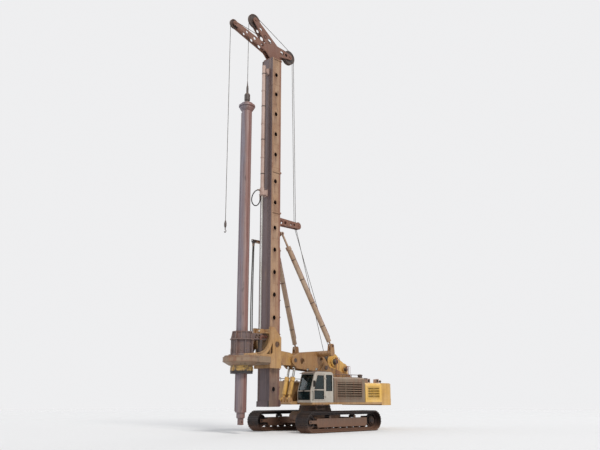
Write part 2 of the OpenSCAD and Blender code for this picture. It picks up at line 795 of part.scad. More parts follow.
// Hydraulic barrel from its foot eye at a towards b: the gland hugs the rod
module barrel(a, b, r, rod_r, len, eye_r, eye_half, pin_r) {
    neck = eye_r + 130;
    difference() {
        union() {
            aim(a, b) {
                translate([0, 0, eye_r * 0.6])
                    cylinder(h = neck, r = eye_half * 0.9);
                translate([0, 0, neck])
                    cylinder(h = len - neck, r = r);
                translate([0, 0, len - 160])
                    cylinder(h = 200, r = r + 22);
            }
            bar_x(a[0] - eye_half, a[0] + eye_half, a[1], a[2], eye_r);
        }
        bar_x(a[0] - eye_half - 1 - r, a[0] + eye_half + 1 + r, a[1], a[2], pin_r + pin_gap);
        aim(a, b) {
            translate([0, 0, neck + 30])
                cylinder(h = len - neck - 210, r = r - 25);
            translate([0, 0, len - 200])
                cylinder(h = 300, r = rod_r + run_gap);
        }
    }
}

// Rod from inside the barrel to its eye at b
module rod(a, b, rod_r, start, eye_r, eye_half, hole_r) {
    reach = norm(b - a);
    difference() {
        union() {
            aim(a, b)
                translate([0, 0, start])
                    cylinder(h = reach - start - hole_r, r = rod_r);
            bar_x(b[0] - eye_half, b[0] + eye_half, b[1], b[2], eye_r);
        }
        bar_x(b[0] - eye_half - 1 - rod_r, b[0] + eye_half + 1 + rod_r, b[1], b[2], hole_r);
    }
}

function boom_foot(s) = [s * cyl_x, cyl_foot_y, cyl_foot_z];
function boom_eye(s) = [s * cyl_x, cyl_top_y, cyl_top_z];
boom_barrel_len = 1060;
boom_eye_hole_r = 52;

module boom_cylinder_barrels() {
    color([0.8, 0.58, 0.13])
    for (s = [-1, 1])
        barrel(boom_foot(s), boom_eye(s), boom_cyl_r, boom_rod_r, boom_barrel_len, 85,
            cyl_eye_half, 45);
}

module boom_cylinder_rods() {
    color([0.75, 0.75, 0.75])
    for (s = [-1, 1])
        rod(boom_foot(s), boom_eye(s), boom_rod_r, 420, 85, cyl_eye_half - 5, boom_eye_hole_r);
}

stay_top_x = 330;
stay_top_y = mast_back + 160;
stay_top_z = joint_a - 1040;
stay_pin_r = 40;
stay_hole_r = 56;
function stay_foot(s) = [s * stay_foot_x, foot_y, foot_z];
function stay_head(s) = [s * stay_top_x, stay_top_y, stay_top_z];
stay_barrel_len = norm(stay_head(1) - stay_foot(1)) - stay_rod_out;

module backstay_barrel(s) {
    color([0.6, 0.52, 0.42])
        barrel(stay_foot(s), stay_head(s), stay_r, stay_rod_r, stay_barrel_len, 110, stay_eye_half,
            foot_pin_r);
}

module backstay_rod(s) {
    color([0.72, 0.68, 0.6])
        rod(stay_foot(s), stay_head(s), stay_rod_r, stay_barrel_len - 1500, 90, 45, stay_hole_r);
}

// Mast sections: box of plates with a row of round side holes, rails on its front corners
joint_b = joint_a + middle_len;
rail_front = mast_front - 20;
module mast_section(z0, z1, low_flange, high_flange) {
    half = mast_w / 2;
    last_hole = floor((z1 - z0 - 2 * hole_edge) / hole_pitch);
    hole_z = (z0 + z1 - last_hole * hole_pitch) / 2;
    difference() {
        union() {
            block([-half, half], [mast_front, mast_back], [z0, z1]);
            both_sides()
                block([half - 1, half + rail_w], [rail_front, rail_front + rail_w], [z0, z1]);
            for (f = [[low_flange, z0, z0 + 40], [high_flange, z1 - 40, z1]])
                if (f[0])
                    block([-half - flange_out, half + flange_out], [mast_front, mast_back + flange_out],
                        [f[1], f[2]]);
        }
        block([-half + mast_t, half - mast_t], [mast_front + mast_t, mast_back - mast_t],
            [z0 + 60, z1 - 60]);
        for (k = [0:last_hole])
            bar_x(-half - 1, half + 1, mast_y, hole_z + k * hole_pitch, side_hole_r);
    }
}

module mast_lower() {
    foot_h = 260;
    color([0.5, 0.38, 0.2])
    {
        mast_section(mast_foot, joint_a, false, true);
        block([-mast_w / 2 - rail_w, mast_w / 2 + rail_w], [rail_front - 60, rail_front],
            [mast_foot, mast_foot + foot_h]);
        side_plate(-mast_w / 2 - 50, mast_w / 2 + 50, [[mast_back, mast_foot],
            [mast_back + 90, mast_foot + 60], [mast_back + 90, mast_foot + foot_h],
            [mast_back, mast_foot + foot_h + 80]]);
        both_sides()
            stay_bracket();
        hose_arm();
    }
}

// Arm from the mast's rear corner round the head's path, with a fitting for each head hose
HOSE_X = [-720, -800];
fitting_r = 42;
fitting_h = 80;
hose_top_y = mast_front - 160;
hose_top_z = joint_a - 1560;
module hose_arm() {
    arm_x = [HOSE_X[1] - 60, HOSE_X[0] + 40];
    arm_z = [hose_top_z + fitting_h, hose_top_z + fitting_h + 80];
    block([arm_x[0], -mast_w / 2 + 10], [mast_back - 80, mast_back], arm_z);
    block(arm_x, [hose_top_y - 60, mast_back], arm_z);
    for (x = HOSE_X)
        translate([x, hose_top_y, hose_top_z])
            cylinder(h = fitting_h + 10, r = fitting_r);
}

// Bracket on the mast's rear face with a long pin that a backstay's eye slides along
module stay_bracket() {
    inner = stay_top_x - 45 - 45;
    side_plate(inner - 60, inner, [[mast_back, stay_top_z - 260], [stay_top_y + 30, stay_top_z - 80],
        [stay_top_y + 80, stay_top_z], [stay_top_y + 30, stay_top_z + 80],
        [mast_back, stay_top_z + 200]]);
    bar_x(inner - 1, stay_top_x + 45 + 65, stay_top_y, stay_top_z, stay_pin_r);
}

// Fitting on the right guide rail where the crowd cylinder's hose ends
crowd_hose_end = [-mast_w / 2 - 55, rail_front - 40, joint_a + 930];
module mast_middle() {
    color([0.62, 0.46, 0.2])
    {
        mast_section(joint_a, joint_b, true, true);
        translate(crowd_hose_end)
            cylinder(h = 80, r = fitting_r - 4);
        block([crowd_hose_end[0] - 40, crowd_hose_end[0] + 40], [rail_front - 90, rail_front],
            [crowd_hose_end[2] + 70, crowd_hose_end[2] + 110]);
    }
}

module mast_upper() {
    color([0.7, 0.5, 0.2])
        mast_section(joint_b, mast_top, true, true);
}

module mast_cradle() {
    ear_out = arm_in - 10;
    ear_in = ear_out - 70;
    low = tilt_z - 250;
    high = tilt_z + 450;
    color([0.85, 0.62, 0.12])
    {
        both_sides() {
            side_plate(ear_in, ear_out, [[mast_back, low], [tilt_y - 280, low],
                [tilt_y - 60, tilt_z - 220], [tilt_y + 180, tilt_z + 130], [tilt_y - 240, high - 80],
                [mast_back, high]]);
            bar_x(ear_in, ear_out, tilt_y, tilt_z, 225);
        }
        block([-ear_in, ear_in], [mast_back, tilt_y - 300], [low + 40, low + 100]);
        block([-ear_in, ear_in], [mast_back, tilt_y - 300], [high - 180, high - 120]);
        bar_x(-arm_out, arm_out, tilt_y, tilt_z, main_pin_r);
    }
}

// Bracket behind the mast that leads the ropes back to the winches
guide_y = mast_y + 1900;
guide_z = joint_a - 340;
guide_r = 200;
module rear_sheave_bracket() {
    // Round openings in each plate: [place behind the mast, height over the guide sheaves, radius]
    holes = [[250, -20, 110], [560, -10, 90], [980, -10, 80], [1220, -10, 70]];
    color([0.4, 0.33, 0.28])
    {
        both_sides()
            yz_plate(110, 150)
                difference() {
                    union() {
                        polygon([[mast_back, guide_z - 420], [mast_back + 300, guide_z - 180],
                            [guide_y - 60, guide_z - 170], [guide_y + 100, guide_z - 100],
                            [guide_y + 100, guide_z + 80], [guide_y - 40, guide_z + 140],
                            [mast_back, guide_z + 200]]);
                        translate([guide_y, guide_z])
                            circle(150);
                    }
                    for (h = holes)
                        translate([mast_back + h[0], guide_z + h[1]])
                            circle(h[2]);
                }
        block([-110, 110], [mast_back, mast_back + 60], [guide_z - 350, guide_z + 200]);
        block([-110, 110], [mast_back + 700, mast_back + 760], [guide_z - 170, guide_z + 120]);
        for (x = [-55, 55])
            translate([x, guide_y, guide_z])
                rotate([0, 90, 0])
                    sheave(guide_r, 50, 45, 80);
        bar_x(-170, 170, guide_y, guide_z, 45);
    }
}

// Grooved rope wheel about Z
module sheave(r, half_w, rope_d, bore_r) {
    rotate_extrude()
        polygon([[bore_r - 36, -half_w], [bore_r + 30, -half_w], [bore_r + 30, -half_w * 0.5],
            [r - 70, -half_w * 0.5], [r - 50, -half_w], [r, -half_w], [r - rope_d, -half_w * 0.35],
            [r - rope_d, half_w * 0.35], [r, half_w], [r - 50, half_w], [r - 70, half_w * 0.5],
            [bore_r + 30, half_w * 0.5], [bore_r + 30, half_w], [bore_r - 36, half_w]]);
}

// Crowd cylinder's barrel on the mast's front face
crowd_y = mast_front - 270;
crowd_top = mast_top - 500;
port_len = 85;
module crowd_barrel() {
    color([0.72, 0.6, 0.5])
    difference() {
        union() {
            translate([0, crowd_y, crowd_low])
                cylinder(h = crowd_top - crowd_low, r = crowd_r);
            translate([0, crowd_y, crowd_low - 140])
                cylinder(h = 380, r = crowd_r + 35);
            for (z = [crowd_low + 1900:1900:crowd_top - 900])
                translate([0, crowd_y, z])
                    cylinder(h = 60, r = crowd_r + 16);
            translate([0, crowd_y - crowd_r, crowd_low + 100])
                rotate([90, 0, 0])
                    cylinder(h = port_len, r = fitting_r - 4);
            for (z = [crowd_low - 100, crowd_top - 400])
                side_plate(-130, 130, [[crowd_y + 40, z + 20], [mast_front, z - 60],
                    [mast_front, z + 300], [crowd_y + 40, z + 220]]);
        }
        translate([0, crowd_y, crowd_low + 240])
            cylinder(h = crowd_top - crowd_low - 300, r = crowd_r - 22);
        translate([0, crowd_y, crowd_low - 141])
            cylinder(h = 400, r = crowd_rod_r + run_gap);
    }
}

// Mast head: arms that lead the ropes over to the kelly and the auxiliary line
sheave_z = mast_top + sheave_rise;
main_y = kelly_y + sheave_r - rope_seat;
rear_y = mast_y + 1180;
rear_z = mast_top + 650;
aux_y = kelly_y - aux_ahead + aux_r - rope_seat;
aux_z = mast_top + 1150;
module cathead() {
    // Sheave pins: [place, height, radius of the plates' round end]
    pins = [[main_y, sheave_z, 165], [rear_y, rear_z, 165], [aux_y, aux_z, 135]];
    // Round openings: [place ahead of the mast's centre, height over the mast, radius]
    holes = [[-880, 655, 95], [-560, 645, 135], [370, 1010, 150], [890, 626, 105],
        [1440, 787, 90], [1980, 948, 75]];
    // Openings up the main arm: [share of the way to the sheave, radius]
    arm_holes = [[0.38, 125], [0.66, 100]];
    root = [mast_y - 300, mast_top + 700];
    color([0.45, 0.35, 0.28])
    {
        block([-mast_w / 2, mast_w / 2], [mast_front, mast_back], [mast_top, mast_top + 60]);
        both_sides()
            yz_plate(110, 160)
                difference() {
                    union() {
                        polygon([[mast_front + 20, mast_top + 60], [mast_back - 20, mast_top + 60],
                            [mast_back + 60, mast_top + 380], [rear_y + 20, rear_z - 150],
                            [rear_y + 20, rear_z + 150], [mast_y + 200, mast_top + 950],
                            [main_y + 110, sheave_z + 110], [main_y - 120, sheave_z - 110],
                            [mast_front - 260, mast_top + 750], [aux_y, aux_z + 130],
                            [aux_y, aux_z - 130], [mast_front - 250, mast_top + 330]]);
                        for (p = pins)
                            translate([p[0], p[1]])
                                circle(p[2]);
                    }
                    for (h = holes)
                        translate([mast_y - h[0], mast_top + h[1]])
                            circle(h[2]);
                    for (h = arm_holes)
                        translate(root + h[0] * ([main_y, sheave_z] - root))
                            circle(h[1]);
                }
        for (p = pins)
            bar_x(-175, 175, p[0], p[1], 45);
        bar_x(-110, 110, mast_y, mast_top + 500, 90);
        bar_x(-110, 110, mast_front - 300, mast_top + 480, 60);
    }
}

module cathead_sheaves() {
    color([0.28, 0.25, 0.23])
    {
        for (p = [[0, main_y, sheave_z, sheave_r], [-55, rear_y, rear_z, sheave_r],
            [55, rear_y, rear_z, sheave_r], [0, aux_y, aux_z, aux_r]])
            translate([p[0], p[1], p[2]])
                rotate([0, 90, 0])
                    sheave(p[3], 48, 45, 81.3);
    }
}

// Head sled: guide shoes on the rails, deep side plates and a plate in front of the mast
sled_low = case_z - 100;
sled_high = case_z + 1880;
sled_front = rail_front - 40;
side_in = damper_r + 20;
side_out = side_in + 60;
case_top = case_z + case_h;
case_back = mast_front - 130;
// The arms sweep down from the rails to the case on an arc about this centre
arm_r = 800;
arm_edge = mast_front - 180;
arm_c = [arm_edge - arm_r, case_top + 170 + arm_r];
band_w = 230;
hose_low_y = mast_back - 360;
hose_low_z = case_top + 280;
module head_sled() {
    rail_out = mast_w / 2 + rail_w;
    shoe_in = mast_w / 2 + 5;
    sweep = arc(arm_c, arm_r, 0, -90, 18);
    color([0.78, 0.56, 0.15])
    {
        both_sides() {
            yz_plate(side_in, side_out)
                difference() {
                    polygon(concat([[mast_back - 90, sled_low], [mast_back - 90, sled_high - 500],
                        [mast_front + 120, sled_high], [arm_edge, sled_high]], sweep,
                        [[kelly_y - 330, case_top + 90], [kelly_y - 330, case_top],
                        [case_back + 1, case_top], [case_back + 1, sled_low]]));
                    polygon(concat(arc(arm_c, arm_r + band_w, -10, -54, 12),
                        [[mast_front - 60, case_top + 110], [mast_front + 34, case_top + 210]]));
                    translate([mast_front + 330, case_top + 610])
                        circle(150);
                }
            yz_plate(side_out, side_out + 60)
                polygon(concat(sweep, arc(arm_c, arm_r + 30, -90, 0, 18)));
            side_plate(side_out, side_out + 60, [[arm_edge, arm_c[1]], [arm_edge + 30, arm_c[1]],
                [arm_edge + 30, sled_high], [arm_edge, sled_high]]);
            for (z = [sled_low, sled_high - 620]) {
                block([rail_out + 6, side_in], [sled_front, rail_front + rail_w + 60], [z, z + 520]);
                block([shoe_in, rail_out + 6], [rail_front + rail_w + 6, rail_front + rail_w + 60],
                    [z, z + 520]);
                block([mast_w / 2 - 60, rail_out + 6], [sled_front, rail_front - run_gap], [z, z + 520]);
            }
        }
        block([-side_in, side_in], [sled_front - 40, sled_front], [sled_low, sled_high - 100]);
        block([-side_in, side_in], [crowd_y - 120, sled_front - 40], [sled_high - 330, sled_high - 290]);
        for (x = [-110, 70])
            block([x, x + 40], [crowd_y - 100, sled_front - 40], [sled_high - 290, sled_high - 90]);
        bar_x(-115, 115, crowd_y, sled_high - 190, 35);
        hose_shelf();
    }
}

// Shelf on the right arm, with a fitting under it for each head hose
module hose_shelf() {
    block([HOSE_X[1] - 60, -side_out], [hose_low_y - 80, hose_low_y + 80],
        [hose_low_z + fitting_h, hose_low_z + fitting_h + 30]);
    for (x = HOSE_X)
        translate([x, hose_low_y, hose_low_z])
            cylinder(h = fitting_h + 10, r = fitting_r);
}

// Gear case: round front, straight back to the sled, undercut below its rim
module gear_case() {
    rim_z = case_z + 150;
    bore_r = damper_r - 110;
    back = [[rim_r - 90, 250], [rim_r - 260, case_back - kelly_y], [-rim_r + 260, case_back - kelly_y],
        [-rim_r + 90, 250]];
    color([0.8, 0.58, 0.14])
    translate([0, kelly_y, 0])
        difference() {
            union() {
                translate([0, 0, rim_z])
                    linear_extrude(case_top - rim_z - 60)
                        union() {
                            circle(rim_r);
                            polygon(concat([[-rim_r + 90, 0], [rim_r - 90, 0]], back));
                        }
                translate([0, 0, case_top - 60])
                    linear_extrude(60)
                        union() {
                            circle(rim_r - 60);
                            polygon(concat([[-rim_r + 120, 0], [rim_r - 120, 0]], back));
                        }
                translate([0, 0, case_z])
                    cylinder(h = rim_z - case_z, r1 = 620, r2 = rim_r - 25);
                translate([0, 0, rim_z - 90])
                    linear_extrude(90)
                        polygon(concat([[-rim_r + 330, 0], [rim_r - 330, 0]],
                            [[rim_r - 330, case_back - kelly_y], [-rim_r + 330, case_back - kelly_y]]));
            }
            translate([0, 0, case_z - 1])
                cylinder(h = case_h + 2, r = bore_r);
        }
}

sleeve_r = damper_r - 110 - case_gap;
module damper_section() {
    slots = 12;
    color([0.42, 0.27, 0.22])
    translate([0, kelly_y, case_top]) {
        difference() {
            union() {
                cylinder(h = 110, r1 = damper_r + 15, r2 = damper_r - 40);
                cylinder(h = 760, r = damper_r - 50);
            }
            translate([0, 0, -1])
                cylinder(h = 900, r = sleeve_r + case_gap);
            for (k = [0:slots - 1])
                rotate([0, 0, (k + 0.5) * 360 / slots])
                    for (z = [200, 320, 440, 560])
                        translate([damper_r - 75, -55, z])
                            cube([45, 110, 50]);
        }
        for (k = [0:7])
            rotate([0, 0, k * 45 + 22.5])
                translate([damper_r + 8, 0, 0]) {
                    cylinder(h = ring_low - case_top - run_gap, r = 26);
                    cylinder(h = 330, r = 38);
                }
    }
}

ring_low = case_top + 760;
module top_ring() {
    ribs = 12;
    ring_h = 400;
    rib_t = 22;
    color([0.45, 0.27, 0.2])
    translate([0, kelly_y, ring_low])
        difference() {
            union() {
                cylinder(h = 45, r = damper_r + 60);
                translate([0, 0, 45])
                    cylinder(h = ring_h - 45, r1 = damper_r - 50, r2 = damper_r - 85);
                for (k = [0:ribs - 1])
                    rotate([90, 0, (k + 0.5) * 360 / ribs])
                        translate([0, 0, -rib_t / 2])
                            linear_extrude(rib_t)
                                polygon([[damper_r - 95, 40], [damper_r + 45, 40],
                                    [damper_r + 5, 130], [damper_r - 45, ring_h],
                                    [damper_r - 95, ring_h]]);
                translate([0, 0, ring_h - 40])
                    cylinder(h = 40, r = damper_r - 40);
                ring_frame();
            }
            translate([0, 0, -1])
                cylinder(h = ring_h + 2, r = sleeve_r + case_gap);
        }
}

// Frame that ties the top ring back to the sled: a floor and two braced sides, over the motors
module ring_frame() {
    half = 300;
    side_t = 16;
    floor_z = 50;
    back = sled_front - 40 - kelly_y;
    bays = 4;
    bay = (back - damper_r) / bays;
    block([-half, half], [300, back], [floor_z, floor_z + 25]);
    both_sides()
        yz_plate(half - side_t, half)
            difference() {
                translate([300, floor_z])
                    square([back - 300, 290]);
                for (k = [0:bays - 1])
                    translate([damper_r + k * bay, floor_z]) {
                        polygon([[20, 60], [bay - 40, 60], [20, 220]]);
                        polygon([[bay - 15, 75], [bay - 15, 240], [40, 240]]);
                    }
            }
}

module head_motors() {
    color([0.4, 0.32, 0.27])
    for (s = [-1, 1])
        translate([s * 340, kelly_y + damper_r + 320, case_top]) {
            cylinder(h = 60, r = 175);
            translate([0, 0, 60])
                cylinder(h = 320, r = 150);
            translate([0, 0, 380])
                cylinder(h = 260, r = 105);
            translate([-80, -80, 640])
                cube([160, 160, 150]);
        }
}

rod_in = 1500;
module crowd_rod() {
    eye_z = sled_high - 190;
    color([0.8, 0.8, 0.8])
    difference() {
        union() {
            translate([0, crowd_y, eye_z + 30])
                cylinder(h = crowd_low + rod_in - eye_z, r = crowd_rod_r);
            bar_x(-69.7, 69.7, crowd_y, eye_z, 75);
        }
        bar_x(-80, 80, crowd_y, eye_z, 35 + pin_gap);
    }
}

// Sleeve that turns inside the head, with its lower casing drive ring and driving bars
key_gap = 0.3;
module casing_drive() {
    low = case_z - run_gap - drive_h;
    inner = kelly_r + rib_h + 15;
    color([0.3, 0.26, 0.25])
    translate([0, kelly_y, 0])
        difference() {
            union() {
                translate([0, 0, low])
                    cylinder(h = drive_h, r = drive_r);
                translate([0, 0, low])
                    cylinder(h = ring_low + 380 - low, r = sleeve_r);
                for (k = [0:5])
                    rotate([0, 0, k * 60 + 30])
                        translate([drive_r - 1, -50, low + 90])
                            cube([31, 100, drive_h - 180]);
            }
            difference() {
                translate([0, 0, low - 1])
                    cylinder(h = ring_low + 400 - low, r = inner);
                for (k = [0:2])
                    rotate([0, 0, k * 120])
                        translate([kelly_r + 5, rib_w / 2 + key_gap, low])
                            cube([inner - kelly_r, 50, ring_low + 380 - low]);
            }
            for (k = [0:bolt_count - 1])
                rotate([0, 0, k * 360 / bolt_count])
                    translate([bolt_pcr, 0, low - 1])
                        cylinder(h = 61, r = bolt_r);
        }
}
bolt_count = 12;
bolt_pcr = 465;
bolt_r = 16;

module kelly_swivel() {
    base = kelly_top + 200 + run_gap;
    color([0.35, 0.28, 0.26])
    translate([0, kelly_y, base])
        rotate_extrude()
            polygon([[0, 0], [120, 0], [120, 60], [150, 100], [150, 420], [110, 480], [60, 520],
                [60, 820], [35, 900], [0, 900]]);
}

stub_w = 200;
stub_pin_r = 35;
module kelly_bar() {
    tube_low = kelly_low + 560;
    color([0.36, 0.27, 0.27])
    translate([0, kelly_y, 0]) {
        difference() {
            union() {
                translate([0, 0, tube_low])
                    cylinder(h = kelly_top - tube_low, r = kelly_r);
                for (k = [0:2])
                    rotate([0, 0, k * 120])
                        translate([kelly_r - 5, -rib_w / 2, tube_low + 60])
                            cube([rib_h + 5, rib_w, kelly_top - 500 - tube_low]);
            }
            translate([0, 0, tube_low + 60])
                cylinder(h = kelly_top - tube_low - 120, r = kelly_r - 34);
        }
        translate([0, 0, kelly_top - 320])
            rotate_extrude()
                polygon([[kelly_r - 10, 0], [kelly_r + 10, 0], [kelly_flange_r - 60, 140],
                    [kelly_flange_r - 60, 230], [kelly_flange_r, 240], [kelly_flange_r, 320],
                    [kelly_r + 30, 360], [kelly_r + 30, 440], [150, 520], [0, 520], [0, 330],
                    [kelly_r - 10, 320]]);
        translate([0, 0, kelly_low + 300])
            rotate_extrude()
                polygon([[0, 0], [170, 0], [200, 30], [200, 260], [0, 260]]);
        difference() {
            translate([-stub_w / 2, -stub_w / 2, kelly_low])
                cube([stub_w, stub_w, 300]);
            bar_x(-stub_w, stub_w, 0, kelly_low + 130, stub_pin_r);
        }
    }
}

// Hoses that hang free. Both head hoses follow one route: [y, z, share of the hose's own sway]
HEAD_HOSE_ROUTE = [[-2962.5, 9340, 0], [-2962.5, 9200, 0], [-2966, 9000, 0.1], [-2974, 8600, 0.3],
    [-2984, 8100, 0.5], [-2994, 7500, 0.7], [-3002, 6900, 0.9], [-3006, 6300, 1], [-3004, 5700, 1],
    [-2998, 5200, 1], [-2990, 4700, 1], [-2980, 4300, 1], [-2966, 4000, 1], [-2934, 3820, 1],
    [-2872, 3670, 1], [-2780, 3570, 1], [-2680, 3545, 1], [-2585, 3590, 0.8], [-2520, 3680, 0.4],
    [-2488, 3770, 0.1], [-2482.5, 3820, 0]];
CROWD_HOSE_ROUTE = [[0, -3262.5, 12000], [-5, -3340, 11998], [-50, -3450, 11950],
    [-120, -3530, 11840], [-210, -3565, 11680], [-300, -3530, 11500], [-365, -3420, 11350],
    [-395, -3260, 11270], [-405, -3110, 11290], [-405, -2985, 11390], [-405, -2900, 11530],
    [-405, -2864, 11690], [-405, -2862.5, 11830]];
function head_hose_points(x, sway, drop) =
    [for (p = HEAD_HOSE_ROUTE) [x + sway * p[2], p[0], p[1] - drop * p[2]]];

// Smooth curve through points, with a point at most every step
function smooth(p, step) = [
    for (i = [0:len(p) - 2])
        let (a = p[max(i - 1, 0)], b = p[i], c = p[i + 1], d = p[min(i + 2, len(p) - 1)],
            n = ceil(norm(c - b) / step))
        for (k = [0:n - 1])
            let (t = k / n)
            b + (c - a) * t / 2 + (2 * a - 5 * b + 4 * c - d) * t * t / 2
                + (3 * b - a - 3 * c + d) * t * t * t / 2,
    p[len(p) - 1]];

// Round tube along points whose direction is never along X
module hose(route) {
    sides = 8;
    points = smooth(route, 200);
    last = len(points) - 1;
    color([0.06, 0.06, 0.06])
        polyhedron(
            points = [for (i = [0:last])
                let (d = points[min(i + 1, last)] - points[max(i - 1, 0)],
                    u = i == 0 || i == last ? end_direction(d) : d / norm(d),
                    v = cross(u, [1, 0, 0]) / norm(cross(u, [1, 0, 0])), w = cross(u, v))
                for (k = [0:sides - 1])
                    points[i] + hose_r * (cos(k * 360 / sides) * v + sin(k * 360 / sides) * w)],
            faces = concat([[for (k = [0:sides - 1]) k]],
                [for (i = [0:last - 1]) for (k = [0:sides - 1]) [i * sides + k, (i + 1) * sides + k,
                    (i + 1) * sides + (k + 1) % sides, i * sides + (k + 1) % sides]],
                [[for (k = [sides - 1:-1:0]) last * sides + k]]));
}

// A hose meets its fittings squarely: the nearest axis to its direction there
function end_direction(d) = abs(d[2]) > abs(d[1]) ? [0, 0, sign(d[2])] : [0, sign(d[1]), 0];

carbody();
translate([track_x, 0, 0]) track_frame();  // track_frame_left
mirror([1, 0, 0]) translate([track_x, 0, 0]) track_frame();  // track_frame_right
translate([track_x, 0, 0]) track();  // track_left
translate([-track_x, 0, 0]) track();  // track_right
both_sides() translate([track_x, 0, 0]) drive_sprocket();  // drive_sprockets
both_sides() translate([track_x, 0, 0]) idler();  // idlers
both_sides() translate([track_x, 0, 0]) roller_set();  // track_rollers
slew_ring();
deck();
pedestal();
counterweight();
engine_hood();
engine();
tank_housing();
pump_housing();
cab_shell();
cab_glass();
cab_door();
cab_door_glass();
operator_seat();
exhaust();
winch_frame();
winch_drum(WINCHES[0]);  // main_winch_drum
winch_drum(WINCHES[1]);  // aux_winch_drum
boom();
boom_cylinder_barrels();
boom_cylinder_rods();
backstay_barrel(1);  // backstay_barrel_left
backstay_barrel(-1);  // backstay_barrel_right
backstay_rod(1);  // backstay_rod_left
backstay_rod(-1);  // backstay_rod_right
mast_lower();
mast_middle();
mast_upper();
mast_cradle();
rear_sheave_bracket();
crowd_barrel();
cathead();
cathead_sheaves();
head_sled();
gear_case();
damper_section();
top_ring();
head_motors();
crowd_rod();
casing_drive();
kelly_swivel();
kelly_bar();
hose(head_hose_points(HOSE_X[0], 10, 0));  // head_hose_inner
hose(head_hose_points(HOSE_X[1], -30, 60));  // head_hose_outer
hose(CROWD_HOSE_ROUTE);  // crowd_hose
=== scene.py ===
"""Looks of a tracked rotary piling rig around its fixed frame: hoses, weathered paint, greased
steel, ropes, bolts, pipes, rails and the cab's fittings.

Metres. The machine faces -Y, its left side is +X and the ground is Z = 0."""

import json
import math

import bmesh
import bpy
import numpy as np
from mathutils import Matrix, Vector


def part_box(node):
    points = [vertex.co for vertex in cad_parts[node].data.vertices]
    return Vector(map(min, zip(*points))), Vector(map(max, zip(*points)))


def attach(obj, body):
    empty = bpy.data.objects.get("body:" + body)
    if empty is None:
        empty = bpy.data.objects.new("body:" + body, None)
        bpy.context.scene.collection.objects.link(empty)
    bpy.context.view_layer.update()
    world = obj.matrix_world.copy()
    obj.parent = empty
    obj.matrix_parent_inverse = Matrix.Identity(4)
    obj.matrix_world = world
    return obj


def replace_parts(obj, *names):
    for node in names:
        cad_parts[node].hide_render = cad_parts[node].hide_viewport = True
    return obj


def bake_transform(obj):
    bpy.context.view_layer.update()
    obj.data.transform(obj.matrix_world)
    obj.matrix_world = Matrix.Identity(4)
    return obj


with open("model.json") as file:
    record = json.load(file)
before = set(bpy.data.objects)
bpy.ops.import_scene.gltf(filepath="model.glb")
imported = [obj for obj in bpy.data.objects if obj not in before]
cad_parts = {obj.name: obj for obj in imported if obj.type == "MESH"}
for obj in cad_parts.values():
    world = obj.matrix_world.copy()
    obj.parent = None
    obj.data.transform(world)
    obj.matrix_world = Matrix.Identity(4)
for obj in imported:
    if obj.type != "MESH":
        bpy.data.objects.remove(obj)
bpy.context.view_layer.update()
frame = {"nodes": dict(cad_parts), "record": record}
nodes = frame["nodes"]
scene = bpy.context.scene
scene.view_settings.view_transform = "Standard"

# Camera: the photograph's standpoint, turned to take in the whole rig
EYE = Vector((25.2, -25.1, 1.6))
HEADING = math.radians(45.5)
PITCH = math.radians(14.4)
LENS_MM = 40.5

lens = bpy.data.cameras.new("camera")
lens.lens = LENS_MM
lens.sensor_width = 36
camera = bpy.data.objects.new("camera", lens)
scene.collection.objects.link(camera)
scene.camera = camera
look = Vector((-math.sin(HEADING) * math.cos(PITCH), math.cos(HEADING) * math.cos(PITCH), math.sin(PITCH)))
camera.location = EYE
camera.rotation_euler = look.to_track_quat("-Z", "Y").to_euler()


# Places taken from the frame
def middle(node):
    """Centre of a node's box in Y and Z."""
    lo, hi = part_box(node)
    return (lo.y + hi.y) / 2, (lo.z + hi.z) / 2


MAIN_SHEAVE_R, AUX_SHEAVE_R, GUIDE_R = 0.40, 0.26, 0.20
ROPE_SEAT, ROPE_R = 0.035, 0.014
THIN_PIPE_R, PIPE_R, FEED_R = 0.012, 0.014, 0.018
HOSE_X = {"head_hose_inner": -0.72, "head_hose_outer": -0.8}
EYE_X = 0.42
RAIL_W, FLANGE_OUT = 0.08, 0.035
HOLE_PITCH, HOLE_EDGE, HOLE_R = 1.15, 0.4, 0.115
BOOM_PIN = (1.0875, 3.15)
MAST_PIN = (-1.0625, 3.45)
STAY_FOOT = Vector((1.3, 0.6075, 4.2))
STAY_TOP = Vector((0.33, -1.9625, 9.86))

deck_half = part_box("deck")[1].x
deck_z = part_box("cab_shell")[0].z
slew_y = middle("slew_ring")[0]
mid_lo, mid_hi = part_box("mast_middle")
mast_half = mid_hi.x - RAIL_W
mast_front = mid_lo.y + 0.02
mast_back = mid_hi.y - FLANGE_OUT
mast_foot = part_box("mast_lower")[0].z
joint_a = mid_lo.z
joint_b = mid_hi.z
mast_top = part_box("mast_upper")[1].z
kelly_y = middle("kelly_swivel")[0]
crowd_y = middle("crowd_rod")[0]
sheaves_lo, sheaves_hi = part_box("cathead_sheaves")
main_sheave = (kelly_y + MAIN_SHEAVE_R - ROPE_SEAT, sheaves_hi.z - MAIN_SHEAVE_R)
rear_sheave = (sheaves_hi.y - MAIN_SHEAVE_R, mast_top + 0.65)
aux_sheave = (sheaves_lo.y + AUX_SHEAVE_R, mast_top + 1.15)
bracket_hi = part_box("rear_sheave_bracket")[1]
guide_sheave = (bracket_hi.y - GUIDE_R, bracket_hi.z - GUIDE_R)


def hole_row(low, high):
    """Heights of a section's round holes: as many as its length takes, about its middle."""
    last = math.floor((high - low - 2 * HOLE_EDGE) / HOLE_PITCH + 1e-6)
    return (low + high - last * HOLE_PITCH) / 2 + HOLE_PITCH * np.arange(last + 1)


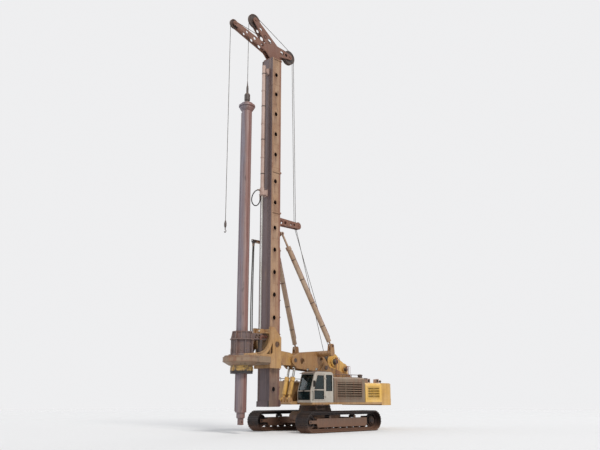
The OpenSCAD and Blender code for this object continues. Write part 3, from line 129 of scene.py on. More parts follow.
# Surfaces: every shape is (points, faces), faces being blocks of point numbers
def skin(grid, wrap=False):
    """Closed skin over a grid of points: each row is a closed outline, bands of quads join it to
    the next, and a flat face shuts each end unless the rows themselves run round."""
    rows, cols = grid.shape[:2]
    i, j = np.meshgrid(np.arange(rows if wrap else rows - 1), np.arange(cols), indexing="ij")
    k, n = (i + 1) % rows, (j + 1) % cols
    faces = [np.stack([i * cols + j, i * cols + n, k * cols + n, k * cols + j], -1).reshape(-1, 4)]
    if not wrap:
        faces += [np.arange(cols)[None, ::-1], np.arange(cols)[None] + (rows - 1) * cols]
    return grid.reshape(-1, 3), faces


def join(shapes):
    """All shapes as one: points stacked, and each one's faces numbered on from the last."""
    start, points, faces = 0, [], []
    for p, blocks in shapes:
        points.append(p)
        faces += [b + start for b in blocks]
        start += len(p)
    return np.concatenate(points), faces


def circle(r, sides=12):
    """Points of a circle at even angles."""
    a = np.arange(sides) * 2 * math.pi / sides
    return np.stack([r * np.cos(a), r * np.sin(a)], 1)


def rectangle(w, h):
    """Corners of a rectangle about the origin."""
    return np.array([[-w, -h], [w, -h], [w, h], [-w, h]]) / 2


def rounded(w, h, r, steps=4):
    """Rectangle with round corners: a quarter circle about each corner's own centre."""
    quarter = np.arange(4)[:, None] * math.pi / 2 + np.linspace(0, math.pi / 2, steps)
    cx = (w / 2 - r) * np.array([1, -1, -1, 1])[:, None]
    cy = (h / 2 - r) * np.array([1, 1, -1, -1])[:, None]
    return np.stack([cx + r * np.cos(quarter), cy + r * np.sin(quarter)], -1).reshape(-1, 2)


def box_outline(a0, a1, b0, b1, r=None):
    """Rectangle from its ranges on two axes, with round corners if a radius is given."""
    made = rounded(a1 - a0, b1 - b0, r) if r else rectangle(a1 - a0, b1 - b0)
    return made + [(a0 + a1) / 2, (b0 + b1) / 2]


def carry(profile, path):
    """A flat profile carried along a path, square to it at each point. Its second axis stays as
    near as it can to the world axis that the path runs along least."""
    path = np.asarray(path, float)
    run = np.gradient(path, axis=0)
    run /= np.linalg.norm(run, axis=1, keepdims=True)
    up = np.eye(3)[np.abs(run).max(0).argmin()]
    side = np.cross(run, up)
    side /= np.linalg.norm(side, axis=1, keepdims=True)
    rise = np.cross(side, run)
    return skin(path[:, None] + profile[None, :, :1] * side[:, None] + profile[None, :, 1:] * rise[:, None])


def moved(spot, axis, to):
    """A place with one of its three numbers changed."""
    return (*spot[:axis], to, *spot[axis + 1:])


def bar(a, b, r, sides=12):
    """Round bar from a to b."""
    return carry(circle(r, sides), [a, b])


def straight(spot, axis, to, r, sides=8):
    """Round bar from a place along one axis."""
    return bar(spot, moved(spot, axis, to), r, sides)


def bent(points, radius, steps=6):
    """Path with its corners rounded: at each corner a curve that starts and ends at the radius
    from it, (1-t)^2 in + 2t(1-t) corner + t^2 out."""
    points = np.asarray(points, float)
    t = np.linspace(0, 1, steps)[:, None]
    out = [points[:1]]
    for before, corner, after in zip(points[:-2], points[1:-1], points[2:]):
        into = corner + (before - corner) * min(0.5, radius / np.linalg.norm(before - corner))
        off = corner + (after - corner) * min(0.5, radius / np.linalg.norm(after - corner))
        out.append((1 - t) ** 2 * into + 2 * t * (1 - t) * corner + t**2 * off)
    return np.concatenate(out + [points[-1:]])


def pipe(points, r, radius=0.06, sides=10):
    """Round tube along a path with rounded corners."""
    return carry(circle(r, sides), bent(points, radius))


def hoop(a, b, off, r, radius=0.06, sides=10):
    """Round tube from a to b that first goes off to one side, as a handle does."""
    a, b, off = np.array(a), np.array(b), np.array(off)
    return pipe([a, a + off, b + off, b], r, radius, sides)


def beside(axis):
    """The two other axes, in order."""
    return [k for k in range(3) if k != axis]


def plate(outline, near, far, axis=0):
    """Flat outline given thickness along an axis; the outline is in the two other axes, in order."""
    outline = np.asarray(outline, float)
    grid = np.zeros((2, len(outline), 3))
    grid[:, :, beside(axis)] = outline
    grid[0, :, axis], grid[1, :, axis] = near, far
    return skin(grid)


def block(lo, hi):
    """Box from its lowest to its highest corner."""
    return plate(box_outline(lo[0], hi[0], lo[2], hi[2]), lo[1], hi[1], axis=1)


def turned(profile, centre=(0, 0, 0), axis=2, sides=32):
    """Outline of (radius, height) points turned once about an axis through the centre."""
    profile = np.asarray(profile, float)
    round_axis = circle(1, sides)
    grid = np.zeros((sides, len(profile), 3))
    grid[:, :, beside(axis)] = round_axis[:, None] * profile[:, :1]
    grid[:, :, axis] = profile[:, 1]
    return skin(grid + np.asarray(centre, float), wrap=True)


def band(inner, outer, low, high, centre=(0, 0, 0), axis=2, sides=28):
    """Flat ring from the inner to the outer radius and from the low to the high level."""
    return turned([(inner, low), (outer, low), (outer, high), (inner, high)], centre, axis, sides)


def cap(r, wall, flat_r, top, centre=(0, 0, 0), axis=2, sides=28):
    """Round lid: a wall, then a slope up to its flat top."""
    return turned([(0, 0), (r, 0), (r, wall), (flat_r, top), (0, top)], centre, axis, sides)


def rim(outline, width, near, far, axis=0):
    """Flat frame along a closed outline: its inner edge lies inwards by the width on both axes."""
    outline = np.asarray(outline, float)
    inner = outline + np.sign(outline.mean(0) - outline) * width
    grid = np.zeros((len(outline), 4, 3))
    for column, (line, level) in enumerate([(outline, near), (outline, far), (inner, far), (inner, near)]):
        grid[:, column, beside(axis)] = line
        grid[:, column, axis] = level
    return skin(grid, wrap=True)


def facing(normals):
    """Turnings that take +Z to each normal."""
    n = np.asarray(normals, float).reshape(-1, 3)
    n = n / np.linalg.norm(n, axis=1, keepdims=True)
    helper = np.where(np.abs(n[:, 2:]) > 0.9, [[1.0, 0, 0]], [[0, 0, 1.0]])
    u = np.cross(helper, n)
    u /= np.linalg.norm(u, axis=1, keepdims=True)
    return np.stack([u, np.cross(n, u), n], -1)


def spread(shape, spots, turns=None):
    """Copies of a shape, one at each spot, each turned by its own matrix if turns are given."""
    points, faces = shape
    spots = np.asarray(spots, float).reshape(-1, 3)
    turns = np.eye(3) if turns is None else turns
    copies = np.einsum("nij,kj->nki", np.broadcast_to(turns, (len(spots), 3, 3)), points)
    step = np.arange(len(spots)) * len(points)
    blocks = [(b[None] + step[:, None, None]).reshape(-1, b.shape[1]) for b in faces]
    return (copies + spots[:, None]).reshape(-1, 3), blocks


def mirrored(*shapes):
    """Shapes and their mirror images across X = 0."""
    points, faces = join(shapes)
    return join([(points, faces), (points * [-1, 1, 1], faces)])


def ring_of(centre, radius, count, axis=2):
    """Spots at even angles on a circle round an axis."""
    a = (np.arange(count) + 0.5) * 2 * math.pi / count
    spots = np.tile(np.asarray(centre, float), (count, 1))
    spots[:, beside(axis)] += radius * np.stack([np.cos(a), np.sin(a)], 1)
    return spots


UP, DOWN, LEFT, RIGHT, AHEAD = (0, 0, 1), (0, 0, -1), (1, 0, 0), (-1, 0, 0), (0, -1, 0)


def bolts(spots, normal, r):
    """Six-sided bolt heads on washers, looking along the normal."""
    head = turned([(0, 0), (1.35 * r, 0), (1.35 * r, 0.2 * r), (r, 0.2 * r), (r, 0.85 * r),
        (0.8 * r, r), (0, r)], sides=6)
    return spread(head, spots, facing(normal))


def bolt_ring(centre, radius, count, r, way=UP):
    """Bolts on a circle, all looking the way of its axis."""
    return bolts(ring_of(centre, radius, count, int(np.abs(way).argmax())), way, r)


def bolt_row(spot, axis, to, count, r, way=UP):
    """Bolts at even steps from a place along one axis."""
    return bolts(np.linspace(spot, moved(spot, axis, to), count), way, r)


def piece(name, shapes, body, finish, sharp=35):
    """One object of the shapes, doubles merged and faces turned outwards, riding on the body. Its
    slot is its finish's own."""
    points, faces = join(shapes if isinstance(shapes, list) else [shapes])
    mesh = bpy.data.meshes.new(name)
    mesh.from_pydata(points.tolist(), [], [f for b in faces for f in b.tolist()])
    work = bmesh.new()
    work.from_mesh(mesh)
    bmesh.ops.remove_doubles(work, verts=work.verts, dist=1e-5)
    bmesh.ops.recalc_face_normals(work, faces=work.faces)
    work.to_mesh(mesh)
    work.free()
    mesh.shade_smooth()
    mesh.set_sharp_from_angle(angle=math.radians(sharp))
    mesh.materials.append(finish)
    made = bpy.data.objects.new(name, mesh)
    scene.collection.objects.link(made)
    if body:
        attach(made, body)
    return made


# Materials: a mask is an output between 0 and 1
def linear(r, g, b):
    """Screen colour from 0 to 255 as the linear colour that a shader takes."""
    c = np.array([r, g, b]) / 255
    c = np.where(c > 0.04045, ((c + 0.055) / 1.055) ** 2.4, c / 12.92)
    return (*c.tolist(), 1.0)


def put(tree, kind, inputs=None, **settings):
    """Adds a node with its settings; each input is a plain value or another node's output."""
    new = tree.nodes.new("ShaderNode" + kind)
    for key, value in settings.items():
        setattr(new, key, value)
    for key, value in (inputs or {}).items():
        give(new.inputs[key], value)
    return new


def give(socket, value):
    """Sets an input to a plain value, or links an output to it."""
    if isinstance(value, bpy.types.NodeSocket):
        socket.id_data.links.new(value, socket)
    else:
        socket.default_value = value


def worked(what, *values, clamp=False):
    """One sum on plain values or outputs; clamped, it stays between 0 and 1."""
    tree = next(v.id_data for v in values if isinstance(v, bpy.types.NodeSocket))
    return put(tree, "Math", dict(enumerate(values)), operation=what, use_clamp=clamp).outputs[0]


def times(a, b):
    """Where both masks are."""
    return worked("MULTIPLY", a, b, clamp=True)


def either(a, b):
    """The stronger of two masks."""
    return worked("MAXIMUM", a, b, clamp=True)


def ramp(value, low, high, start=0.0, end=1.0):
    """The start below low, the end above high, straight between; high may be the lower one."""
    return put(value.id_data, "MapRange", {"Value": value, "From Min": low, "From Max": high,
        "To Min": start, "To Max": end}).outputs[0]


def over(mask, under, top):
    """The top colour laid over the one under it where the mask is 1."""
    return put(mask.id_data, "Mix", {0: mask, 6: under, 7: top}, data_type="RGBA").outputs[2]


def noise(where, scale, stretch=(1, 1, 1), detail=5.0, rough=0.6):
    """Noise of the place, with the pattern squeezed or drawn out along each axis."""
    tree = where.id_data
    mapped = put(tree, "Mapping", {"Vector": where, "Scale": stretch}).outputs[0]
    return put(tree, "TexNoise", {"Vector": mapped, "Scale": scale, "Detail": detail,
        "Roughness": rough}).outputs[0]


def spots_of(tree):
    """Object place, its three parts and the three parts of the normal."""
    place = put(tree, "TexCoord").outputs["Object"]
    normal = put(tree, "NewGeometry").outputs["Normal"]
    return place, *(put(tree, "SeparateXYZ", {0: vector}).outputs for vector in (place, normal))


def new_group(name, inputs, outputs):
    """An empty node group with named sockets."""
    tree = bpy.data.node_groups.new(name, "ShaderNodeTree")
    for label, value in inputs.items():
        kind = "NodeSocketColor" if isinstance(value, tuple) else "NodeSocketFloat"
        tree.interface.new_socket(label, in_out="INPUT", socket_type=kind).default_value = value
    for label, kind in outputs.items():
        tree.interface.new_socket(label, in_out="OUTPUT", socket_type="NodeSocket" + kind)
    return tree, tree.nodes.new("NodeGroupInput").outputs, tree.nodes.new("NodeGroupOutput").inputs


RUST = linear(118, 72, 50)
OLD_RUST = linear(74, 50, 42)
STAIN = linear(132, 92, 70)
DUST = linear(174, 148, 122)
MUD = linear(120, 88, 70)
BLACK_GREASE = linear(38, 31, 29)


def make_weather():
    """Paint that has stood outdoors on clay. Sun fades it in large patches, brown water lies in
    soft stains and runs down the walls, chips and worn edges show the steel, dust settles on what
    looks up, and dry mud reaches up from the ground."""
    tree, given, result = new_group("weather", {"Paint": (0.5, 0.5, 0.5, 1), "Worn": RUST, "Fade": 0.3,
        "Rust": 0.3, "Dust": 0.4, "Mud Top": 1.2, "Gloss Loss": 0.5},
        {"Color": "Color", "Roughness": "Float", "Height": "Float"})
    paint = given["Paint"]
    place = put(tree, "TexCoord").outputs["Object"]
    normal = put(tree, "NewGeometry").outputs["Normal"]
    up = put(tree, "SeparateXYZ", {0: normal}).outputs[2]
    height = put(tree, "SeparateXYZ", {0: place}).outputs[2]
    large = noise(place, 0.7, detail=3.0)
    medium = noise(place, 2.4, (1, 1, 0.55), detail=6.0)
    fine = noise(place, 13.0, detail=7.0)
    streak = noise(place, 6.5, (1, 1, 0.05), detail=6.0, rough=0.7)
    grit = noise(place, 60.0, detail=3.0)
    wall = ramp(worked("ABSOLUTE", up), 0.7, 0.2)

    pale = put(tree, "HueSaturation", {"Saturation": 0.7, "Value": 1.15, "Color": paint}).outputs[0]
    color = over(times(ramp(large, 0.35, 0.62), given["Fade"]), paint, pale)
    dull = put(tree, "HueSaturation", {"Saturation": 0.9, "Value": 0.74, "Color": paint}).outputs[0]
    color = over(times(ramp(fine, 0.45, 0.8), 0.6), color, dull)

    stain = times(ramp(medium, 0.46, 0.7), given["Rust"])
    color = over(times(stain, 0.85), color, STAIN)
    color = over(times(times(ramp(streak, 0.5, 0.72), wall), given["Rust"]), color, RUST)
    start = worked("SUBTRACT", 0.74, times(given["Rust"], 0.15))
    chips = times(ramp(fine, start, worked("ADD", start, 0.06)), ramp(medium, 0.4, 0.55))
    color = over(chips, color, over(ramp(grit, 0.4, 0.6), RUST, OLD_RUST))
    soft = put(tree, "Bevel", {"Radius": 0.02}, samples=4).outputs[0]
    turn = put(tree, "VectorMath", {0: soft, 1: normal}, operation="DOT_PRODUCT").outputs["Value"]
    edge = times(ramp(turn, 0.995, 0.85), ramp(fine, 0.32, 0.6))
    edge = times(edge, ramp(given["Rust"], 0.0, 0.35))
    color = over(edge, color, given["Worn"])

    laid = times(ramp(up, 0.25, 0.85), ramp(large, 0.2, 0.55))
    film = times(ramp(streak, 0.6, 0.3), 0.4)
    dust = times(either(laid, film), given["Dust"])
    color = over(dust, color, DUST)
    splash = worked("ADD", worked("DIVIDE", height, given["Mud Top"]), worked("MULTIPLY", fine, 1.1))
    mud = times(ramp(splash, 1.25, 0.75), 0.85)
    color = over(mud, color, MUD)

    rust = either(chips, edge)
    dirt = either(either(rust, dust), either(mud, stain))
    give(result["Color"], color)
    give(result["Roughness"], either(given["Gloss Loss"], times(dirt, 0.88)))
    give(result["Height"], worked("ADD", times(rust, times(grit, 0.6)), times(mud, fine), clamp=True))
    return tree


def make_grime():
    """Black grease and oil: blots of noise, drawn out upright, as one mask."""
    tree, given, result = new_group("grease", {"Amount": 0.5, "Scale": 4.0}, {"Mask": "Float"})
    blots = noise(put(tree, "TexCoord").outputs["Object"], given["Scale"], (1, 1, 0.35), detail=6.0, rough=0.5)
    start = worked("SUBTRACT", 0.72, times(given["Amount"], 0.45))
    give(result["Mask"], ramp(blots, start, worked("ADD", start, 0.15)))
    return tree


WEATHER = make_weather()
GREASE = make_grime()
SLOTS = {}


def new_material(name, slot):
    """A material with its shader at hand, kept with the record's slot that it stands for."""
    made = bpy.data.materials.new(name)
    made.use_nodes = True
    SLOTS[name] = slot
    return made, made.node_tree, made.node_tree.nodes["Principled BSDF"].inputs


def placed(tree, group, values):
    """A node group in a material, with its own values."""
    node = tree.nodes.new("ShaderNodeGroup")
    node.node_tree = group
    for label, value in values.items():
        node.inputs[label].default_value = value
    return node.outputs


def weathered(name, slot, paint, fade=0.4, rust=0.3, dust=0.4, mud_top=1.3, gloss_loss=0.5, metal=0.0,
        grease=0.0, worn=RUST):
    """Outdoor paint or steel: the weather group colours it, and grease may lie over it."""
    made, tree, shader = new_material(name, slot)
    color, rough, height = placed(tree, WEATHER, {"Paint": linear(*paint), "Worn": worn, "Fade": fade,
        "Rust": rust, "Dust": dust, "Mud Top": mud_top, "Gloss Loss": gloss_loss})
    if grease:
        blots = placed(tree, GREASE, {"Amount": grease, "Scale": 4.0})[0]
        color = over(blots, color, BLACK_GREASE)
        rough = put(tree, "Mix", {"Factor": blots, "A": rough, "B": 0.32}).outputs[0]
    give(shader["Base Color"], color)
    give(shader["Roughness"], rough)
    give(shader["Normal"], put(tree, "Bump", {"Strength": 0.25, "Distance": 0.004, "Height": height}).outputs[0])
    shader["Metallic"].default_value = metal
    return made


def repaint(made, *masks):
    """Lays more colours over a finish: each mask has its colour from 0 to 255."""
    base = made.node_tree.nodes["Principled BSDF"].inputs["Base Color"]
    color = base.links[0].from_socket
    for mask, top in masks:
        color = over(mask, color, linear(*top))
    give(base, color)
    return made


def mast_paint(node, low, high):
    """Ochre mast paint. The front face between the rails is darkened to purple-grey in streaky patches:
    painted shade. The rails are black with grease, brown water runs down from each side hole, the rear
    edge is red-brown and the foot is darker, partly with grease and partly with painted shade."""
    made = weathered(node + " paint", "ochre_paint", (166, 130, 98), fade=0.45, rust=0.75, dust=0.3, grease=0.16)
    place, (x, y, z), normal = spots_of(made.node_tree)
    worn = noise(place, 2.2, (1, 1, 0.2))
    bands = noise(place, 9.0, (1, 1, 0.03), rough=0.7)
    # front marks the faces that look ahead (-Y); the purple-grey laid over it below is painted shade, broken up by
    # noise
    front = ramp(normal[1], -0.6, -0.8)
    on_side = ramp(worked("ABSOLUTE", normal[0]), 0.4, 0.7)
    on_rail = times(ramp(worked("ABSOLUTE", x), mast_half + 0.0005, mast_half + 0.001),
        ramp(y, mast_front + 0.07, mast_front + 0.06))
    near_rail = times(ramp(y, mast_front + 0.3, mast_front + 0.05), ramp(bands, 0.42, 0.62))
    rear = times(ramp(y, mast_back - 0.15, mast_back - 0.09), ramp(worn, 0.3, 0.5))
    from_hole = worked("SUBTRACT", z, float(hole_row(low, high)[0]))
    share = worked("FRACT", worked("DIVIDE", from_hole, HOLE_PITCH))
    off_middle = worked("ABSOLUTE", worked("SUBTRACT", y, (mast_front + mast_back) / 2))
    drips = times(ramp(share, 0.35, 0.92), ramp(off_middle, 0.14, 0.05))
    drips = times(drips, ramp(noise(place, 20.0, (1, 1, 0.03)), 0.35, 0.55))
    # Darker below about 3.5 m: partly grease, partly painted shade
    foot = times(ramp(z, 3.5, 2.3), times(ramp(worn, 0.2, 0.5), 0.62))
    return repaint(made, (times(front, ramp(worn, 0.25, 0.42)), (104, 86, 88)),
        (times(front, ramp(bands, 0.46, 0.66)), (80, 70, 80)),
        (times(rear, times(on_side, 0.75)), (128, 84, 68)),
        (times(drips, times(on_side, 0.8)), (96, 68, 56)),
        (times(near_rail, 0.6), (104, 78, 66)),
        (foot, (62, 50, 56)),
        (times(on_rail, 0.92), (46, 40, 42)))


def kelly_finish():
    """Bare steel of the kelly bar: long pale and red-brown streaks down its length, a darker, greasy
    stretch below, and across the bar a red-brown half and a cool blue-grey half, the blue-grey being painted shade."""
    made = weathered("kelly steel", "kelly_steel", (132, 114, 114), fade=0.4, rust=0.3, dust=0.2,
        gloss_loss=0.48, metal=0.15, grease=0.2)
    place, (x, y, z), _ = spots_of(made.node_tree)
    bands = noise(place, 7.0, (1, 1, 0.02), rough=0.75)
    thin = noise(place, 22.0, (1, 1, 0.02), rough=0.7)
    # Split across the bar by x + y: red-brown towards +X +Y, and cool blue-grey towards -X -Y, the half away from the
    # key light, which is painted shade
    across = worked("ADD", x, worked("SUBTRACT", y, kelly_y))
    ragged = worked("ADD", across, worked("MULTIPLY", bands, 0.5))
    return repaint(made, (times(ramp(ragged, 0.3, 0.42), 0.6), (140, 94, 84)),
        (times(ramp(ragged, 0.26, 0.12), 0.55), (112, 112, 128)),
        (times(ramp(bands, 0.5, 0.68), 0.6), (112, 76, 70)),
        (times(ramp(thin, 0.54, 0.7), 0.6), (172, 156, 148)),
        (times(ramp(thin, 0.44, 0.3), 0.6), (70, 56, 56)),
        (times(ramp(z, 4.0, 1.0), 0.35), (98, 66, 56)))


def drive_ring_paint(low, high):
    """Yellow paint of the casing drive ring, worn through in blots, over a black greasy lower edge;
    the sleeve above the ring stays bare and dark."""
    made = weathered("drive ring paint", "yellow_paint", (202, 158, 58), fade=0.5, rust=0.5, dust=0.3,
        gloss_loss=0.55, grease=0.4)
    place, (x, y, z), _ = spots_of(made.node_tree)
    ragged = noise(place, 6.0)
    edge = worked("SUBTRACT", z, worked("MULTIPLY", ragged, 0.22))
    return repaint(made, (times(ramp(ragged, 0.46, 0.57), 0.78), (82, 64, 54)),
        (ramp(edge, low + 0.06, low), (42, 36, 36)),
        (ramp(z, high, high + 0.002), (58, 48, 46)))


def polished_rod():
    """Hard chrome: a mirror with faint oily streaks along the rod."""
    made, tree, shader = new_material("rod chrome", "rod_chrome")
    film = noise(put(tree, "TexCoord").outputs["Object"], 14.0, (1, 1, 0.08))
    give(shader["Base Color"], over(ramp(film, 0.45, 0.8), linear(206, 204, 200), linear(150, 138, 122)))
    give(shader["Roughness"], ramp(film, 0.0, 1.0, 0.1, 0.4))
    shader["Metallic"].default_value = 1.0
    return made


def tinted_glass():
    """Dark blue-green cab glass with a little dust on it."""
    made, tree, shader = new_material("cab glass", "cab_glazing")
    dusty = noise(put(tree, "TexCoord").outputs["Object"], 3.0, (1, 1, 0.5))
    shader["Base Color"].default_value = linear(58, 92, 96)
    shader["Transmission Weight"].default_value = 0.9
    shader["IOR"].default_value = 1.45
    give(shader["Roughness"], ramp(dusty, 0.0, 1.0, 0.02, 0.2))
    return made


def plain(name, slot, color, rough=0.5, metal=0.0, patchy=0.25):
    """A near-even finish with faint patches of dirt."""
    made, tree, shader = new_material(name, slot)
    spots = noise(put(tree, "TexCoord").outputs["Object"], 12.0)
    give(shader["Base Color"], over(times(ramp(spots, 0.45, 0.7), patchy), linear(*color), DUST))
    give(shader["Roughness"], ramp(spots, 0.0, 1.0, rough, min(1.0, rough + 0.3)))
    shader["Metallic"].default_value = metal
    return made


def wire_rope():
    """Greased wire rope: the strands are slanted waves along the rope's own length and girth."""
    made, tree, shader = new_material("wire rope", "rope_steel")
    turns = put(tree, "Mapping", {"Vector": put(tree, "TexCoord").outputs["UV"], "Scale": (8.0, 6.0, 1.0)})
    strands = put(tree, "TexWave", {"Vector": turns.outputs[0], "Scale": 1 / math.tau, "Distortion": 0.0},
        bands_direction="DIAGONAL").outputs["Fac"]
    give(shader["Base Color"], over(ramp(strands, 0.2, 0.8), linear(38, 33, 30), linear(98, 88, 80)))
    give(shader["Normal"], put(tree, "Bump", {"Strength": 0.6, "Distance": 0.003, "Height": strands}).outputs[0])
    shader["Metallic"].default_value = 0.5
    shader["Roughness"].default_value = 0.45
    return made


DRIVE_H = 0.38
drive_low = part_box("casing_drive")[0].z
yellow = weathered("yellow paint", "yellow_paint", (230, 182, 70), 0.55, 0.16, 0.42, gloss_loss=0.42)
tail_yellow = weathered("counterweight paint", "yellow_paint", (204, 156, 66), 0.5, 0.42, mud_top=1.35)
stained_yellow = weathered("stained yellow paint", "yellow_paint", (214, 166, 70), 0.5, 0.7, 0.35, grease=0.2)
ochre = weathered("ochre paint", "ochre_paint", (176, 134, 78), 0.5, 0.6, 0.35, grease=0.14)
cradle_yellow = weathered("cradle paint", "ochre_paint", (176, 134, 70), 0.4, 0.7, 0.3, grease=0.28)
boom_ochre = weathered("boom paint", "ochre_paint", (154, 112, 60), 0.4, 0.65, 0.3, grease=0.32)
case_ochre = weathered("gear case paint", "ochre_paint", (134, 110, 84), 0.6, 0.8, 0.4, grease=0.26)
grey = weathered("grey paint", "grey_paint", (118, 104, 86), 0.4, 0.5, 0.5)
cab_grey = weathered("cab paint", "cab_paint", (184, 180, 170), 0.3, 0.3, 0.6, mud_top=1.75, gloss_loss=0.4)
# A dark grey for the cab's roof plate, visor and roof hatch, darker than the cab's walls
roof_grey = weathered("dark roof grey", "cab_paint", (92, 92, 98), 0.4, 0.15, 0.5)
under_steel = weathered("undercarriage steel", "undercarriage_steel", (66, 58, 54), 0.4, 0.45, 0.5,
    mud_top=1.5, gloss_loss=0.65)
track_steel = weathered("track steel", "track_steel", (25, 23, 28), 0.35, 0.16, 0.1, mud_top=0.55,
    gloss_loss=0.55, metal=0.3, worn=linear(92, 80, 74))
dark_steel = weathered("dark steel", "dark_steel", (60, 54, 54), 0.4, 0.35, 0.35, grease=0.35)
rusty = weathered("rusty steel", "rusty_steel", (118, 78, 64), 0.5, 0.6, 0.35, gloss_loss=0.6, grease=0.2)
head_rust = weathered("red-brown steel", "rusty_steel", (94, 78, 79), 0.6, 0.5, 0.3, gloss_loss=0.6,
    grease=0.22, worn=linear(176, 140, 118))
kelly_steel = kelly_finish()
stay_tan = weathered("backstay paint", "stay_paint", (166, 140, 114), 0.5, 0.6, 0.3, grease=0.12)
barrel_pink = weathered("crowd barrel paint", "grey_paint", (188, 160, 148), 0.5, 0.4, 0.35)
iron = weathered("engine iron", "engine_iron", (62, 60, 58), 0.4, 0.2, 0.3)
red_pipe = weathered("red pipe paint", "rusty_steel", (140, 70, 58), 0.5, 0.5, 0.3)
zinc = weathered("bolt steel", "dark_steel", (116, 102, 92), 0.4, 0.5, 0.3, metal=0.4)
mast_ends = {"mast_lower": (mast_foot, joint_a), "mast_middle": (joint_a, joint_b), "mast_upper": (joint_b, mast_top)}
mast_paints = {node: mast_paint(node, *ends) for node, ends in mast_ends.items()}
mast_ochre = mast_paints["mast_lower"]
ring_paint = drive_ring_paint(drive_low, drive_low + DRIVE_H)
chrome = polished_rod()
glass = tinted_glass()
vinyl = plain("seat vinyl", "seat_vinyl", (36, 36, 39), patchy=0.06)
rubber = plain("black rubber", "seat_vinyl", (32, 31, 30), rough=0.6, patchy=0.12)
hose_rubber = plain("hose rubber", "hose_rubber", (36, 34, 35), patchy=0.15)
lamp_glass = plain("lamp glass", "cab_glazing", (214, 216, 210), rough=0.12, patchy=0.2)
red_lens = plain("reflector", "cab_glazing", (150, 30, 26), rough=0.2, patchy=0.3)
mirror = plain("mirror", "cab_glazing", (190, 196, 200), rough=0.05, metal=1.0, patchy=0.1)
rope_finish = wire_rope()

# The nodes take their slot's own finish, and these a nearer one
SLOT_FINISH = {SLOTS[made.name]: made for made in (under_steel, track_steel, ochre, yellow, grey, cab_grey, glass,
    vinyl, dark_steel, rusty, kelly_steel, stay_tan, chrome, iron, rope_finish, hose_rubber)}
SPECIAL = {**mast_paints, "counterweight": tail_yellow, "boom_cylinder_barrels": stained_yellow,
    "winch_frame": stained_yellow, "mast_cradle": cradle_yellow, "boom": boom_ochre, "pedestal": boom_ochre,
    "gear_case": case_ochre, "top_ring": head_rust, "damper_section": head_rust, "casing_drive": ring_paint,
    "crowd_barrel": barrel_pink}
for part in frame["record"]["subparts"]:
    node = part.get("node")
    if node in nodes:
        nodes[node].data.materials.clear()
        nodes[node].data.materials.append(SPECIAL.get(node, SLOT_FINISH[part["material_slot"]]))

# Hoses that hang free, on the source's own routes: head hoses as (y, z, share of sway and drop)
HOSE_R = 0.028
HEAD_HOSE_ROUTE = [(-2.9625, 9.34, 0), (-2.9625, 9.2, 0), (-2.966, 9.0, 0.1), (-2.974, 8.6, 0.3),
    (-2.984, 8.1, 0.5), (-2.994, 7.5, 0.7), (-3.002, 6.9, 0.9), (-3.006, 6.3, 1), (-3.004, 5.7, 1),
    (-2.998, 5.2, 1), (-2.99, 4.7, 1), (-2.98, 4.3, 1), (-2.966, 4.0, 1), (-2.934, 3.82, 1),
    (-2.872, 3.67, 1), (-2.78, 3.57, 1), (-2.68, 3.545, 1), (-2.585, 3.59, 0.8), (-2.52, 3.68, 0.4),
    (-2.488, 3.77, 0.1), (-2.4825, 3.82, 0)]
CROWD_HOSE_ROUTE = [(0, -3.2625, 12.0), (-0.005, -3.34, 11.998), (-0.05, -3.45, 11.95),
    (-0.12, -3.53, 11.84), (-0.21, -3.565, 11.68), (-0.3, -3.53, 11.5), (-0.365, -3.42, 11.35),
    (-0.395, -3.26, 11.27), (-0.405, -3.11, 11.29), (-0.405, -2.985, 11.39), (-0.405, -2.9, 11.53),
    (-0.405, -2.864, 11.69), (-0.405, -2.8625, 11.83)]


def smooth(stops, step=0.04):
    """Smooth curve through stops: between b and c, with a and d as their neighbours, it is the
    cubic b + (c-a)t/2 + (2a-5b+4c-d)t^2/2 + (3b-a-3c+d)t^3/2, a point at most every step."""
    p = np.asarray(stops, float)
    p = np.concatenate([p[:1], p, p[-1:]])
    out = []
    for a, b, c, d in zip(p[:-3], p[1:-2], p[2:-1], p[3:]):
        t = np.arange(0, 1, 1 / math.ceil(np.linalg.norm(c - b) / step))[:, None]
        out.append(b + (c - a) * t / 2 + (2 * a - 5 * b + 4 * c - d) * t**2 / 2
            + (3 * b - a - 3 * c + d) * t**3 / 2)
    return np.concatenate(out + [p[-1:]])


def travel(path):
    """Distance run along a path at each of its points."""
    return np.concatenate([[0], np.cumsum(np.linalg.norm(np.diff(path, axis=0), axis=1))])


def ferrule(name, spot, way, body):
    """Crimped end fitting of a hose with its union nut, turned about the hose's own direction."""
    crimp = turned([(0, 0.02), (0.036, 0.02), (0.038, 0.03), (0.038, 0.05), (0.034, 0.055), (0.034, 0.075),
        (0.038, 0.08), (0.038, 0.1), (0.034, 0.105), (0.034, 0.13), (0.0285, 0.14), (0, 0.14)], sides=16)
    nut = turned([(0, -0.012), (0.044, -0.012), (0.048, -0.008), (0.048, 0.018), (0.044, 0.022), (0, 0.022)], sides=6)
    return piece(name, spread(join([crimp, nut]), [spot], facing([way])), body, zinc)


def hose(name, route, bodies, ways):
    """One hose on its route, with an end fitting on the body at each end."""
    path = smooth(route)
    made = piece(name + "_line", carry(circle(HOSE_R, 14), path), None, hose_rubber)
    ends = [ferrule(name + end, path[at], way, body) for end, at, way, body in zip(("_start", "_end"),
        (0, -1), ways, bodies)]
    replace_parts(made, name)
    return made


# A hose hangs from the mast as a loop when the head is up: its start fitting rides on the mast and its end fitting on
# the head
for name, sway, drop in (("head_hose_inner", 0.01, 0.0), ("head_hose_outer", -0.03, 0.06)):
    x = HOSE_X[name]
    route = [(x + sway * share, y, z - drop * share) for y, z, share in HEAD_HOSE_ROUTE]
    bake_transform(hose(name, route, ("mast", "head"), (DOWN, DOWN)))
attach(hose("crowd_hose", CROWD_HOSE_ROUTE, ("mast", "mast"), (AHEAD, DOWN)), "mast")


